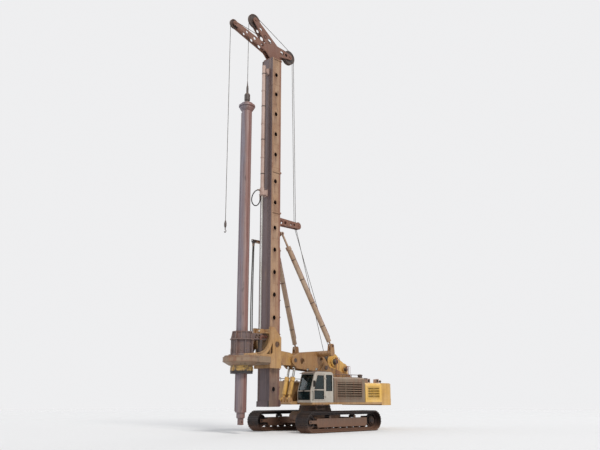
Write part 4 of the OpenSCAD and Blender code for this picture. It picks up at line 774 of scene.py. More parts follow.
# Ropes
def rope_path(stops, ends_x, step=0.06):
    """Centreline of a rope in the Y-Z plane over round stops (y, z, radius, side). Between two
    stops it runs on their common tangent, whose slope is the centre line's less
    asin((side1 r1 - side2 r2) / distance), and it follows each wheel's arc between tangents. Side
    is 1 where the wheel is on the rope's right, -1 on its left. X goes evenly between ends_x."""
    c = np.array([s[:2] for s in stops], float)
    r = np.array([s[2] * s[3] for s in stops], float)
    d = np.diff(c, axis=0)
    slope = np.arctan2(d[:, 1], d[:, 0]) - np.arcsin((r[:-1] - r[1:]) / np.linalg.norm(d, axis=1))
    left = np.stack([-np.sin(slope), np.cos(slope)], 1)
    off = c[:-1] + r[:-1, None] * left
    on = c[1:] + r[1:, None] * left
    line = []
    for k in range(len(d)):
        count = max(2, int(np.linalg.norm(on[k] - off[k]) / (step * 4)))
        line.append(np.linspace(off[k], on[k], count))
        if k + 1 < len(d):
            turn = (slope[k + 1] - slope[k] + math.pi) % math.tau - math.pi
            count = max(3, int(abs(turn * r[k + 1]) / (step / 2)))
            a = slope[k] + turn * np.linspace(0, 1, count)[1:-1]
            line.append(c[k + 1] + r[k + 1] * np.stack([-np.sin(a), np.cos(a)], 1))
    line = np.concatenate(line)
    gone = travel(line)
    return np.column_stack([np.interp(gone, [0, gone[-1]], ends_x), line])


def rope(name, path, body=None, sides=10):
    """A rope along its path, with a map of its length (in turns of the strands) and girth. On the
    quads that close the girth, the map goes on past 1."""
    path = np.asarray(path, float)
    made = piece(name, carry(circle(ROPE_R, sides), path), body, rope_finish)
    mesh = made.data
    corner = np.zeros(len(mesh.loops), int)
    mesh.loops.foreach_get("vertex_index", corner)
    u = travel(path)[np.minimum(corner // sides, len(path) - 1)]
    v = corner % sides / sides
    size = np.zeros(len(mesh.polygons), int)
    mesh.polygons.foreach_get("loop_total", size)
    starts = np.concatenate([[0], np.cumsum(size)[:-1]])
    quads = starts[size == 4][:, None] + np.arange(4)
    closing = quads[np.ptp(v[quads], axis=1) > 0.5]
    v[closing[v[closing] < 0.25]] += 1.0
    mesh.uv_layers.new(name="lay").data.foreach_set("uv", np.stack([u, v], 1).astype(np.float32).ravel())
    return made


SEAT_R = MAIN_SHEAVE_R - ROPE_SEAT
CORE_R = {"main": 0.27, "aux": 0.18}
SIDE_X = {"main": 0.055, "aux": -0.055}
DRUM_X = {"main": 0.08, "aux": -0.1}
DRUM_HALF = 0.25
HOOK_Z = 9.95
HOOK_LEAN = 0.03
HOOK_R = 0.062
JUNCTION = 0.5
ROPE_STEPS = 24
winches = {"main": middle("main_winch_drum"), "aux": middle("aux_winch_drum")}
hook_y = aux_sheave[0] - AUX_SHEAVE_R + ROPE_SEAT + HOOK_LEAN
swivel_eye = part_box("kelly_swivel")[1].z - 0.03
kelly_hang = (0, kelly_y, main_sheave[1] - 0.05)

rear_stops = [(*rear_sheave, SEAT_R, 1), (*guide_sheave, GUIDE_R - ROPE_SEAT, -1)]
over_head = {"main": [(kelly_y, kelly_hang[2], 0, 1), (*main_sheave, SEAT_R, 1)],
    "aux": [(hook_y, HOOK_Z, 0, 1), (*aux_sheave, AUX_SHEAVE_R - ROPE_SEAT, 1)]}
for line, stops in over_head.items():
    drum = (*winches[line], CORE_R[line] + ROPE_R, -1)
    whole = rope_path(stops + rear_stops + [drum], (0, 0))
    last = rope_path([rear_stops[-1], drum], (SIDE_X[line], DRUM_X[line]))
    upper_run = whole[:len(whole) - len(last) + 1]
    gone = travel(upper_run)
    on_front = gone[np.argmax(upper_run[:, 2])]
    on_rear = gone[np.argmax(upper_run[:, 1] > mast_back)]
    upper_run[:, 0] = np.interp(gone, [on_front, on_rear], [0, SIDE_X[line]])
    rope(line + "_rope_over_head", upper_run, "mast")
    start, end = last[0], last[-1]
    mid = start + (end - start) * JUNCTION
    for goal, a, b, ends in (("boom", start, mid, ("mast", "boom")), ("winch", mid, end, ("boom", "upper"))):
        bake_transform(rope(line + "_rope_to_" + goal, np.linspace(a, b, ROPE_STEPS)))

kelly_rope = rope("kelly_rope", np.linspace(kelly_hang, (0, kelly_y, swivel_eye), ROPE_STEPS))
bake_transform(kelly_rope)


def wraps(centre, r, half, turns):
    """Rope wound on a drum: a helix about X, one rope's thickness on for each turn."""
    a = np.linspace(0, turns * math.tau, int(turns * 36))
    return np.column_stack([np.linspace(-half, half, len(a)), centre[0] - r * np.cos(a), centre[1] - r * np.sin(a)])


for line in winches:
    rope(line + "_rope_wraps", wraps(winches[line], CORE_R[line] + ROPE_R, DRUM_HALF - 0.012,
        2 * DRUM_HALF / (2.1 * ROPE_R)), line + "_winch", sides=8)

# Hook on the auxiliary rope and the rope's socket on the kelly swivel
weight = turned([(0, 0.34), (0.026, 0.34), (0.035, 0.3), (0.06, 0.2), (0.06, 0.06), (0.04, 0.0), (0.025, -0.02),
    (0.025, -0.08), (0, -0.08)], (0, hook_y, HOOK_Z - 0.3), sides=24)
bend = np.radians(np.linspace(100, -190, 22))
crook = np.column_stack([HOOK_R * np.cos(bend), np.full(22, hook_y), HOOK_Z - 0.5 + HOOK_R * np.sin(bend)])
hook = carry(circle(0.019, 10), [(0, hook_y, HOOK_Z - 0.37), *crook])
piece("aux_hook", [weight, hook], "mast", dark_steel)
socket = turned([(0, 0), (0.05, 0), (0.05, 0.06), (0.036, 0.08), (0.022, 0.3), (0.018, 0.34), (0, 0.34)],
    (0, kelly_y, swivel_eye - 0.02), sides=20)
socket_pin = straight((-0.065, kelly_y, swivel_eye + 0.02), 0, 0.065, 0.018, 12)
piece("rope_socket", [socket, socket_pin], "swivel", dark_steel)

# Mast: rings round the side holes, weld seams, bolts at the joints, pipes with clamps
SEAM_R = 0.005
JOINT_LIFT, JOINT_OUT = 0.04, 0.018
hole_z = np.concatenate([hole_row(*ends) for ends in mast_ends.values()])
hole_rings = spread(band(HOLE_R + 0.003, HOLE_R + 0.04, 0, 0.01, axis=0),
    [(mast_half, (mast_front + mast_back) / 2, z) for z in hole_z])
piece("mast_hole_rings", mirrored(hole_rings), "mast", mast_ochre)
seams = [straight((mast_half, mast_front + 0.09, z), 1, mast_back, SEAM_R, 6) for z in (hole_z[:-1] + hole_z[1:]) / 2]
seams += [straight((0.22, mast_front, a), 2, b - 0.05, SEAM_R, 6) for a, b in ((mast_foot + 0.3, joint_a),
    (joint_a + 0.05, joint_b), (joint_b + 0.05, mast_top))]
piece("mast_weld_seams", mirrored(*seams), "mast", mast_ochre)
joint_bolts = []
for z in (joint_a, joint_b):
    for lift, way in ((JOINT_LIFT, UP), (-JOINT_LIFT, DOWN)):
        level = z + lift
        side = bolt_row((mast_half + JOINT_OUT, mast_front + 0.09, level), 1, mast_back - 0.02, 7, 0.013, way)
        back = bolt_row((0.04 - mast_half, mast_back + JOINT_OUT, level), 0, mast_half - 0.04, 8, 0.013, way)
        joint_bolts += [mirrored(side), back]
piece("mast_joint_bolts", joint_bolts, "mast", zinc)

# Two pipes up the rear right corner feed the hoses on the arm; thinner ones run up the rear left
ARM_TOP = 9.5
PIPE_LOW = 1.75
THIN_PIPES = ((0.3, 8.9), (0.335, 9.05))
CLAMP_X = (-0.325, 0.317)
CLAMP_Z = np.arange(2.1, 9.4, 0.85)
ARM_CLAMP_Y = (-2.4, -2.8)
behind, thin_y, arm_y, hose_y = mast_back + 0.035, mast_back + 0.03, mast_back - 0.03, mast_front - 0.16
feeds, thin = [], []
for n, x in enumerate(HOSE_X.values()):
    at, lift = -0.3 - 0.05 * n, ARM_TOP + 0.022 + 0.045 * n
    feeds.append(pipe([(at, behind, PIPE_LOW), (at, behind, lift), (at - 0.1, arm_y, lift), (x, arm_y, lift),
        (x, hose_y, lift), (x, hose_y, ARM_TOP)], FEED_R))
for x, top in THIN_PIPES:
    thin.append(pipe([(x, thin_y, PIPE_LOW), (x, thin_y, top), (x - 0.1, thin_y, top + 0.15)], THIN_PIPE_R))
clamps = [block((x - 0.055, mast_back, z), (x + 0.055, mast_back + 0.06, z + 0.05))
    for z in CLAMP_Z for x in CLAMP_X]
clamps += [block((-0.845, y, ARM_TOP), (-0.69, y + 0.04, ARM_TOP + 0.05)) for y in ARM_CLAMP_Y]
piece("mast_feed_pipes", feeds, "mast", dark_steel)
piece("mast_thin_pipes", thin, "mast", red_pipe)
piece("mast_pipe_clamps", clamps, "mast", rusty)

# Crowd cylinder: bolts on its foot, a pipe up its barrel with straps
CROWD_R = 0.105
STRAP_Z = (12.9, 14.8, 16.7, 18.6)
barrel_lo, barrel_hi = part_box("crowd_barrel")
pipe_y, pipe_x = crowd_y + 0.02, 0.135
port_z = barrel_lo.z + 0.28
fittings = [pipe([(0.1, pipe_y, port_z), (pipe_x + 0.03, pipe_y, port_z), (pipe_x, pipe_y, port_z + 0.2),
    (pipe_x, pipe_y, barrel_hi.z - 0.25), (0.06, pipe_y, barrel_hi.z - 0.12)], PIPE_R)]
fittings.append(bolt_ring((0, crowd_y, barrel_lo.z), CROWD_R + 0.015, 10, 0.01, DOWN))
strap = band(CROWD_R, CROWD_R + 0.008, 0, 0.05, sides=32)
fittings.append(spread(strap, [(0, crowd_y, z) for z in STRAP_Z]))
piece("crowd_barrel_pipe", fittings, "mast", dark_steel)

# Keeper plates on the ends of the rope wheels' pins, and bars that keep the ropes in
KEEPER_X = 0.187
KEEPER_BARS = ((-3.552, 21.174), (-1.72, 20.22), (-4.93, 20.666))
keepers = [mirrored(plate(rounded(0.16, 0.07, 0.02) + [y, z], KEEPER_X - 0.012, KEEPER_X),
    bolt_row((KEEPER_X, y - 0.055, z), 1, y + 0.055, 2, 0.012, LEFT))
    for y, z in (main_sheave, rear_sheave, aux_sheave)]
keepers += [straight((-0.112, y, z), 0, 0.112, 0.014, 12) for y, z in KEEPER_BARS]
piece("sheave_keepers", keepers, "mast", rusty)

# Head: bolts on rim, flanges and motors, seams of the case, lids on its top
MOTOR_X, MOTOR_AHEAD = 0.34, 0.84
RIM_R, RIM_BOLT_R = 0.9, 0.79
LID_X, LID_T = 0.7, 0.018
PLUG_TURN = 0.9
case_lo, case_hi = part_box("gear_case")
motor_y = kelly_y + MOTOR_AHEAD
motor_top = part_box("head_motors")[1].z
rim_bolts = ring_of((0, kelly_y, case_hi.z), RIM_BOLT_R, 36)
head_bolts = [bolts(rim_bolts[rim_bolts[:, 1] < kelly_y + 0.3], UP, 0.018)]
head_bolts += [bolt_ring((x, y, z), radius, count, r) for x, y, z, radius, count, r in (
    (0, kelly_y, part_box("damper_section")[1].z + 0.045, 0.555, 24, 0.012),
    (0, kelly_y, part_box("top_ring")[1].z, 0.455, 24, 0.012),
    (-MOTOR_X, motor_y, case_hi.z + 0.06, 0.162, 10, 0.01), (-MOTOR_X, motor_y, case_hi.z + 0.38, 0.13, 10, 0.009),
    (MOTOR_X, motor_y, case_hi.z + 0.06, 0.162, 10, 0.01), (MOTOR_X, motor_y, case_hi.z + 0.38, 0.13, 10, 0.009))]
piece("head_bolts", head_bolts, "head", zinc)
case_bands = [band(RIM_R - 0.01, RIM_R + 0.007, z, z + 0.014, (0, kelly_y, 0), sides=72)
    for z in (case_lo.z + 0.165, case_hi.z - 0.09)]
lid_spots = [(x, kelly_y - 0.2, case_hi.z) for x in (-LID_X, LID_X)]
piece("gear_case_bands", case_bands + [spread(cap(0.085, LID_T, 0.07, 0.024), lid_spots)], "head", case_ochre)
plugs = [bolt_ring((x, y, z + LID_T), 0.07, 6, 0.007) for x, y, z in lid_spots]
plug_ways = np.array([(math.sin(a), -math.cos(a), 0) for a in (-PLUG_TURN, PLUG_TURN)])
plugs.append(bolts(plug_ways * RIM_R + [0, kelly_y, case_lo.z + 0.26], plug_ways, 0.024))
piece("gear_case_plugs", plugs, "head", zinc)

# Pipes of the motors: to the sled's front plate, and on the right to the two hose ends
SHELF_TOP = 3.93
HOSE_END_Y = (-2.44, -2.525)
PIPE_PAIR = 0.055
plate_y = crowd_y + 0.17
shelf_z = SHELF_TOP + 0.036
sled_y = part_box("head_sled")[0].y
head_pipes, nuts = [], []
for side in (-1, 1):
    for dx in (0.0, PIPE_PAIR):
        x, level = side * (MOTOR_X + dx), motor_top + 0.14 + dx
        head_pipes.append(pipe([(x, motor_y, motor_top), (x, motor_y, level), (x, plate_y, level)], 0.02))
        nuts += [bolts([(x, motor_y, motor_top)], UP, 0.03), bolts([(x, plate_y, level)], AHEAD, 0.03)]
for y, x in zip(HOSE_END_Y, HOSE_X.values()):
    head_pipes.append(pipe([(-0.42, motor_y, shelf_z + 0.1), (-0.49, motor_y + 0.2, shelf_z), (-0.49, y, shelf_z),
        (x, y, shelf_z)], FEED_R))
    nuts += [bolts([(-0.6, y, shelf_z)], RIGHT, 0.026),
        block((x - 0.035, y - 0.035, SHELF_TOP), (x + 0.035, y + 0.035, shelf_z + 0.018))]
piece("head_pipes", head_pipes, "head", red_pipe)
piece("head_pipe_nuts", nuts, "head", zinc)
piece("arm_bolts", [bolt_row((x, sled_y + 0.1, case_hi.z + 0.03), 1, sled_y + 1.0, 7, 0.014, way)
    for x, way in ((-0.6, RIGHT), (0.6, LEFT))], "head", zinc)

# Casing drive and kelly: bolts on the ring's top and on the kelly's top flange
RING_BOLT_R = 0.49
FLANGE_BOLT_R = 0.37
KELLY_FLANGE_Z = 16.417
piece("drive_ring_bolts", bolt_ring((0, kelly_y, drive_low + DRIVE_H), RING_BOLT_R, 18, 0.014), "casing_drive", zinc)
piece("kelly_flange_bolts", bolt_ring((0, kelly_y, KELLY_FLANGE_Z), FLANGE_BOLT_R, 16, 0.016), "kelly", zinc)

# Tracks: bolts on the shoes, link plates with pins; every other link lies LINK_STEP further out
SHOE_PLATE_R = 0.43
SHOE_T = 0.03
LINK_IN = -0.06
LINK_X, LINK_T, LINK_R = 0.1155, 0.012, 0.05
LINK_STEP = 0.002
AXLE_Z = 0.5
SHOES_STRAIGHT, SHOES_ROUND = 20, 6
pitch = math.pi * SHOE_PLATE_R / SHOES_ROUND
run_len = SHOES_STRAIGHT * pitch
track_lo, track_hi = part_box("track_left")
track_x = (track_lo.x + track_hi.x) / 2


def on_loop(s, out):
    """Places and outward turnings at distance s along the track, out from the shoes' seat: the
    bottom run, the rear half circle, the top run, the front half circle."""
    lengths = [0, run_len, math.pi * SHOE_PLATE_R, run_len, math.pi * SHOE_PLATE_R]
    ends = np.cumsum(lengths)
    s = s % ends[-1]
    a = np.interp(s, ends, [0, 0, math.pi, math.pi, math.tau])
    y = np.interp(s, ends, np.array([-1, 1, 1, -1, -1]) * run_len / 2)
    none = np.zeros(len(s))
    normal = np.stack([none, np.sin(a), -np.cos(a)], 1)
    along = np.stack([none, np.cos(a), np.sin(a)], 1)
    spots = (SHOE_PLATE_R + out) * normal + np.stack([none, slew_y + y, none + AXLE_Z], 1)
    return spots, np.stack([np.tile([1.0, 0, 0], (len(s), 1)), along, normal], -1)


shoes = (np.arange(2 * (SHOES_STRAIGHT + SHOES_ROUND)) + 0.5) * pitch
spots, turns = on_loop(shoes, SHOE_T)
shoe_bolts = join([spread(cap(0.016, 0.012, 0.012, 0.016, sides=6), spots + turns[:, :, 1] * dy + [dx, 0, 0], turns)
    for dx in (-0.09, 0.09) for dy in (-0.022, 0.022)])
spots, turns = on_loop(shoes, LINK_IN)
spots[1::2, 0] += LINK_STEP
quarter_on = np.linspace(-math.pi / 2, math.pi / 2, 7)
link = np.concatenate([np.stack([LINK_R * np.cos(a) + way * (pitch / 2 - 0.039), LINK_R * np.sin(a)], 1)
    for way, a in ((1, quarter_on), (-1, quarter_on + math.pi))])
links = spread(plate(link, LINK_X, LINK_X + LINK_T), spots, turns)
pin = turned([(0, 0.13), (0.02, 0.13), (0.022, 0.126), (0.022, LINK_X), (0, LINK_X)], axis=0, sides=10)
links = mirrored(links, spread(pin, *on_loop(shoes + pitch / 2, LINK_IN)))
for name, x in (("left", track_x), ("right", -track_x)):
    piece("shoe_bolts_" + name, spread(shoe_bolts, [(x, 0, 0)]), "undercarriage", track_steel)
    piece("track_links_" + name, spread(links, [(x, 0, 0)]), "undercarriage", track_steel)

sprocket_bolts = [bolt_ring((side * (track_x + out), slew_y + run_len / 2, AXLE_Z), radius, count, r, (side, 0, 0))
    for side in (-1, 1) for out, radius, count, r in ((0.135, 0.19, 16, 0.012), (0.195, 0.12, 10, 0.01))]
piece("sprocket_bolts", sprocket_bolts, "undercarriage", zinc)
ring_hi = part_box("slew_ring")[1]
ring_centre = (0, slew_y, ring_hi.z - 0.05)
plugs = ring_of(ring_centre, ring_hi.x, 24)
piece("slew_ring_bolts", bolts(plugs, plugs - ring_centre, 0.012), "undercarriage", zinc)

# Upper carriage: doors, slat frames, hatches, rails, caps, ladder, lamps
hood_lo, hood_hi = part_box("engine_hood")
pump_lo, pump_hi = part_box("pump_housing")
tank_lo, tank_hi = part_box("tank_housing")
cw_lo, cw_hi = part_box("counterweight")
left, right = deck_half, -deck_half
RAIL_X = deck_half - 0.18
PUMP_HATCH = (0.72, 1.3, 1.9, 2.8)
TANK_DOORS_Y = ((-0.76, -0.01), (0.09, 0.84), (2.33, 2.95))
FILLER_X, FILLER_Y = -1.0, (-0.5, 0.4)
LADDER_Y = (-0.8, -0.48)
RUNG_Z = np.arange(1.4, 2.4, 0.27)


def door_panel(y0, y1, z0, z1, x):
    """Raised door leaf with round corners on a side wall, with two hinges and a latch."""
    out = math.copysign(1, x)
    mid_z = (z0 + z1) / 2
    leaf = plate(box_outline(y0, y1, z0, z1, 0.05), x, x + out * 0.012)
    latch = plate(box_outline(y1 - 0.105, y1 - 0.055, mid_z - 0.06, mid_z + 0.06, 0.02), x + out * 0.01,
        x + out * 0.026)
    return join([leaf, latch] + [straight((x + out * 0.016, y0 + 0.02, z), 2, z + 0.09, 0.012)
        for z in (z0 + 0.12, z1 - 0.2)])


def slat_frame(y0, y1, z0, z1, x):
    """Raised frame round a slatted opening, with upright bars across it."""
    out = math.copysign(0.014, x)
    bars = [block((x, y - 0.012, z0 - 0.02), (x + 0.9 * out, y + 0.012, z1 + 0.02))
        for y in np.linspace(y0, y1, max(2, round((y1 - y0) / 0.6)) + 1)[1:-1]]
    return join([rim(box_outline(y0 - 0.05, y1 + 0.05, z0 - 0.05, z1 + 0.05), 0.055, x, x + out)] + bars)


def hatch(x0, x1, y0, y1, z):
    """Raised lid on a roof with two hinges and a handle."""
    lid = plate(box_outline(x0, x1, y0, y1, 0.05), z, z + 0.018, axis=2)
    hinges = [straight((x, y1 + 0.01, z + 0.012), 0, x + 0.1, 0.014) for x in (x0 + 0.1, x1 - 0.2)]
    spot = ((x0 + x1) / 2 - 0.07, y0 + 0.06, z + 0.01)
    return join([lid, hoop(spot, moved(spot, 0, spot[0] + 0.14), (0, 0, 0.05), 0.008, 0.03, 8)] + hinges)


slats_z = deck_z + 0.2
piece("pump_slat_frame", slat_frame(pump_lo.y + 0.24, pump_hi.y - 0.26, slats_z, hood_hi.z, left), "upper", grey)
piece("hood_slat_frame", slat_frame(hood_lo.y + 0.2, hood_hi.y - 0.2, slats_z, hood_hi.z - 0.2, left), "upper", yellow)
piece("pump_hatch", hatch(*PUMP_HATCH, pump_hi.z), "upper", grey)
tank_doors = [door_panel(y0, y1, deck_z + 0.1, tank_hi.z - 0.17, right) for y0, y1 in TANK_DOORS_Y]
tank_doors.append(slat_frame(slew_y + 0.3, slew_y + 1.5, slats_z, hood_hi.z - 0.25, right))
piece("tank_housing_doors", tank_doors, "upper", ochre)
piece("hood_panels", [door_panel(hood_lo.y + 0.15, hood_hi.y - 0.15, deck_z + 0.15, hood_hi.z - 0.17, right),
    hatch(-1.28, -0.6, hood_lo.y + 0.2, hood_hi.y - 0.22, hood_hi.z)], "upper", yellow)
caps = [join([cap(0.075, 0.035, 0.065, 0.045, (FILLER_X, y, tank_hi.z), sides=24),
    straight((FILLER_X - 0.055, y, tank_hi.z + 0.05), 0, FILLER_X + 0.055, 0.012)]) for y in FILLER_Y]
piece("filler_caps", caps, "upper", dark_steel)


def top_rail(x, y0, y1, z, height=0.14, r=0.016):
    """Tube rail along a roof edge, its ends and posts standing on the roof."""
    posts = [straight((x, y, z), 2, z + height, r * 0.8)
        for y in np.linspace(y0, y1, max(2, round((y1 - y0) / 0.8) + 1))[1:-1]]
    return join([hoop((x, y0, z), (x, y1, z), (0, 0, height), r, 0.08)] + posts)


piece("top_rails", [top_rail(*ends) for ends in ((-RAIL_X, hood_lo.y + 0.1, hood_hi.y - 0.1, hood_hi.z),
    (-RAIL_X, tank_lo.y + 0.2, tank_hi.y - 0.15, tank_hi.z), (RAIL_X, pump_lo.y + 0.15, pump_hi.y - 0.15, pump_hi.z))],
    "upper", dark_steel)
ladder = [pipe([(right, y, deck_z - 0.1), (right - 0.05, y, deck_z - 0.12), (right - 0.05, y, tank_hi.z + 0.2),
    (right + 0.16, y, tank_hi.z + 0.2), (right + 0.16, y, tank_hi.z)], PIPE_R) for y in LADDER_Y]
ladder += [straight((right - 0.05, LADDER_Y[0], z), 1, LADDER_Y[1], 0.012, 12) for z in RUNG_Z]
piece("tank_ladder", ladder, "upper", dark_steel)

# Two framed boxes with a dark front on the hood's left edge, lifting eyes and reflectors at the tail
CORNER_X, CORNER_Y, CORNER_R = 1.03, 5.0675, 0.42
REFLECTOR_Z = 1.53
LIFTING_X, LIFTING_R = 0.9, 0.08
roof_z, box_x = hood_hi.z, RAIL_X - 0.02
framed, fronts = [], []
for y in (hood_lo.y + 0.5, hood_hi.y - 0.12):
    framed += [block((RAIL_X - 0.2, y - 0.11, roof_z), (box_x, y + 0.11, roof_z + 0.2)),
        rim(box_outline(y - 0.12, y + 0.12, roof_z, roof_z + 0.22), 0.035, box_x, RAIL_X)]
    fronts.append(plate(box_outline(y - 0.09, y + 0.09, roof_z + 0.03, roof_z + 0.19), box_x, box_x + 0.004))
piece("hood_boxes", framed, "upper", barrel_pink)
piece("hood_box_fronts", fronts, "upper", rubber)
arch = np.linspace(0, math.pi, 15)
eyes = [carry(circle(0.022, 8), np.column_stack([x + LIFTING_R * np.cos(arch), np.full(15, cw_lo.y + 0.25),
    cw_hi.z - 0.01 + 0.13 * np.sin(arch)])) for x in (-LIFTING_X, LIFTING_X)]
piece("lifting_eyes", eyes, "upper", yellow)
bend = np.radians(np.linspace(32, 62, 9))
strip = carry(rectangle(0.012, 0.06), np.column_stack([CORNER_X + CORNER_R * np.cos(bend),
    CORNER_Y + CORNER_R * np.sin(bend), np.full(9, REFLECTOR_Z)]))
piece("reflectors", mirrored(strip), "upper", red_lens)
roof_bolts = [bolt_row((x, lo.y + 0.06, hi.z), 1, hi.y - 0.06, count, 0.011) for x, lo, hi, count in (
    (-1.31, hood_lo, hood_hi, 9), (-0.02, hood_lo, hood_hi, 9), (1.31, hood_lo, hood_hi, 9),
    (0.64, pump_lo, pump_hi, 14), (1.31, pump_lo, pump_hi, 14))]
piece("housing_bolts", roof_bolts, "upper", zinc)

# Air cleaner's bowl on its box, bands round the stack
STACK_X, STACK_BAND_Z = -0.3, (2.47, 2.7)
stack_lo, stack_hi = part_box("exhaust")
bowl = turned([(0, 0), (0.1, 0), (0.12, 0.03), (0.12, 0.12), (0.14, 0.14), (0.14, 0.17), (0.09, 0.2), (0, 0.21)],
    (0.62, stack_lo.y + 0.3, stack_lo.z + 0.26), sides=28)
stack_bands = [band(0.084, 0.094, z, z + 0.04, (STACK_X, stack_hi.y - 0.15, 0)) for z in STACK_BAND_Z]
piece("air_cleaner_bowl", [bowl] + stack_bands, "upper", dark_steel)

# Two steps below the cab door, between bent tubes
STEP_Z = (1.08, 1.26)
cab_lo, cab_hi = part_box("cab_shell")
steps = [block((left - 0.03, cab_lo.y + 0.35, z), (left + 0.22, cab_lo.y + 0.8, z + 0.025)) for z in STEP_Z]
steps += [pipe([(left - 0.02, y, deck_z - 0.03), (left + 0.02, y, 1.3), (left + 0.02, y, 1.06), (left + 0.2, y, 1.06)],
    PIPE_R) for y in (cab_lo.y + 0.36, cab_lo.y + 0.79)]
piece("cab_steps", steps, "upper", dark_steel)

# Work lamps: a turned bowl with its glass, looking along a direction, on a stem
LAMP_R = 0.07
CAB_LAMP_X, TAIL_LAMP_X = (0.68, 1.3), (-1.0, 1.0)
lamp_bowl = turned([(0, -0.07), (0.4 * LAMP_R, -0.07), (0.9 * LAMP_R, -0.03), (LAMP_R, 0.0), (LAMP_R, 0.03),
    (0.86 * LAMP_R, 0.03), (0.86 * LAMP_R, 0.02), (0, 0.02)], sides=20)
lamp_face = turned([(0, 0.02), (0.86 * LAMP_R, 0.02), (0.8 * LAMP_R, 0.027), (0, 0.034)], sides=20)
lamp_spots = np.array([(x, -0.45, cab_hi.z + 0.12) for x in CAB_LAMP_X]
    + [(x, cw_hi.y - 0.62, cw_hi.z + 0.1) for x in TAIL_LAMP_X])
lamp_turns = facing([(0, -1, -0.15)] * 2 + [(0, 1, -0.1)] * 2)
stems = spread(bar((0, 0, -0.12), (0, 0, -0.02), 0.012, 8), lamp_spots)
piece("work_lamps", [spread(lamp_bowl, lamp_spots, lamp_turns), stems], "upper", dark_steel)
piece("work_lamp_glass", spread(lamp_face, lamp_spots, lamp_turns), "upper", lamp_glass)

# Cab: window seals, roof plate and visor, wiper, handles, mirror, controls and seat
LEAN = math.tan(math.radians(18.6))
SILL = 1.96
DOOR_PANES = [[(-0.7725, 2.04), (-0.1025, 2.04), (-0.1025, 2.70), (-0.5425, 2.70)],
    [(-0.7725, 1.56), (-0.1025, 1.56), (-0.1025, 1.97), (-0.7725, 1.97)]]
VISOR = [(-0.63, 2.872), (-0.65, 2.884), (-0.93, 2.8), (-0.93, 2.788)]
HANDLE_Y = -0.92
MIRROR_AT = (left + 0.2, 2.29)
cab_in = cab_lo.x
front_x = (cab_in + 0.06, left - 0.06)
front_face = cab_lo.y + 0.01
window_top = cab_hi.z - 0.15


def seal(outline, near, far, axis=0, grow=0.012, width=0.026):
    """Rubber frame round a window's outline, which it overlaps outwards."""
    outline = np.asarray(outline, float)
    return rim(outline + np.sign(outline - outline.mean(0)) * grow, width, near, far, axis)


def leaned(shape):
    """A shape moved back with its height over the sill, as the cab's front leans."""
    points, faces = shape
    back = (points[:, 2] - SILL) * LEAN
    return points + back[:, None] * [0, 1, 0], faces


side_window = box_outline(cab_lo.y + 1.1, cab_hi.y - 0.09, SILL, window_top)
seals = [seal(side_window, left - 0.004, left + 0.005), seal(side_window, cab_in - 0.005, cab_in + 0.004),
    leaned(seal(box_outline(*front_x, SILL + 0.03, window_top), front_face - 0.007, front_face + 0.004, axis=1)),
    seal(box_outline(*front_x, deck_z + 0.13, SILL - 0.04), cab_lo.y - 0.005, cab_lo.y + 0.004, axis=1),
    seal(box_outline(*front_x, deck_z + 0.7, cab_hi.z - 0.19), cab_hi.y - 0.004, cab_hi.y + 0.005, axis=1)]
piece("cab_window_seals", seals, "upper", rubber)
piece("cab_door_seals", [seal(w, left - 0.004, left + 0.005, grow=0.01, width=0.022) for w in DOOR_PANES], "cab_door",
    rubber)
roof = plate(box_outline(cab_in + 0.02, left - 0.02, -0.58, 0.41, 0.06), cab_hi.z, cab_hi.z + 0.02, axis=2)
piece("cab_roof_plate", [plate(VISOR, cab_in + 0.03, left - 0.03), roof,
    hatch(cab_in + 0.2, left - 0.2, -0.3, 0.25, cab_hi.z + 0.02)], "upper", roof_grey)
wiper = [bar((x, front_face - 0.035, z), (x + 0.12, front_face - 0.035, z + 0.5), r, 8)
    for x, z, r in ((1.0, 2.12, 0.01), (0.97, 1.97, 0.008))]
wiper.append(block((0.93, front_face - 0.045, 1.93), (1.02, front_face, 1.985)))
piece("cab_wiper", leaned(join(wiper)), "upper", rubber)
piece("cab_handles", [hoop((left, HANDLE_Y, 1.52), (left, HANDLE_Y, 1.92), (0.06, 0, 0), 0.012),
    pipe([(left - 0.005, -0.79, 2.44), (left + 0.2, -0.96, 2.44), (left + 0.2, -0.96, 2.3)], 0.01),
    plate(rounded(0.16, 0.3, 0.03) + MIRROR_AT, -0.985, -0.965, axis=1)], "upper", rubber)
piece("mirror_glass", plate(rounded(0.14, 0.28, 0.025) + MIRROR_AT, -0.9645, -0.962, axis=1), "upper", mirror)


def cushion(centre, size, lean=0.0, crown=0.35):
    """Padded block: a closed rounded form whose cross-sections are cosine and sine raised to a
    small power, so it is nearly flat in the middle and pulls in at its rim, leaned about X."""
    u = np.linspace(-math.pi / 2, math.pi / 2, 17)[:, None]
    v = np.linspace(-math.pi, math.pi, 33)[None, :-1]
    bow = lambda t: np.sign(t) * np.abs(t) ** crown
    x = size[0] / 2 * bow(np.cos(u)) * bow(np.cos(v))
    y = size[1] / 2 * bow(np.cos(u)) * bow(np.sin(v))
    z = size[2] / 2 * bow(np.sin(u)) * np.ones_like(v)
    c, s = math.cos(lean), math.sin(lean)
    return skin(np.stack([x, c * y - s * z, s * y + c * z], -1) + np.asarray(centre))


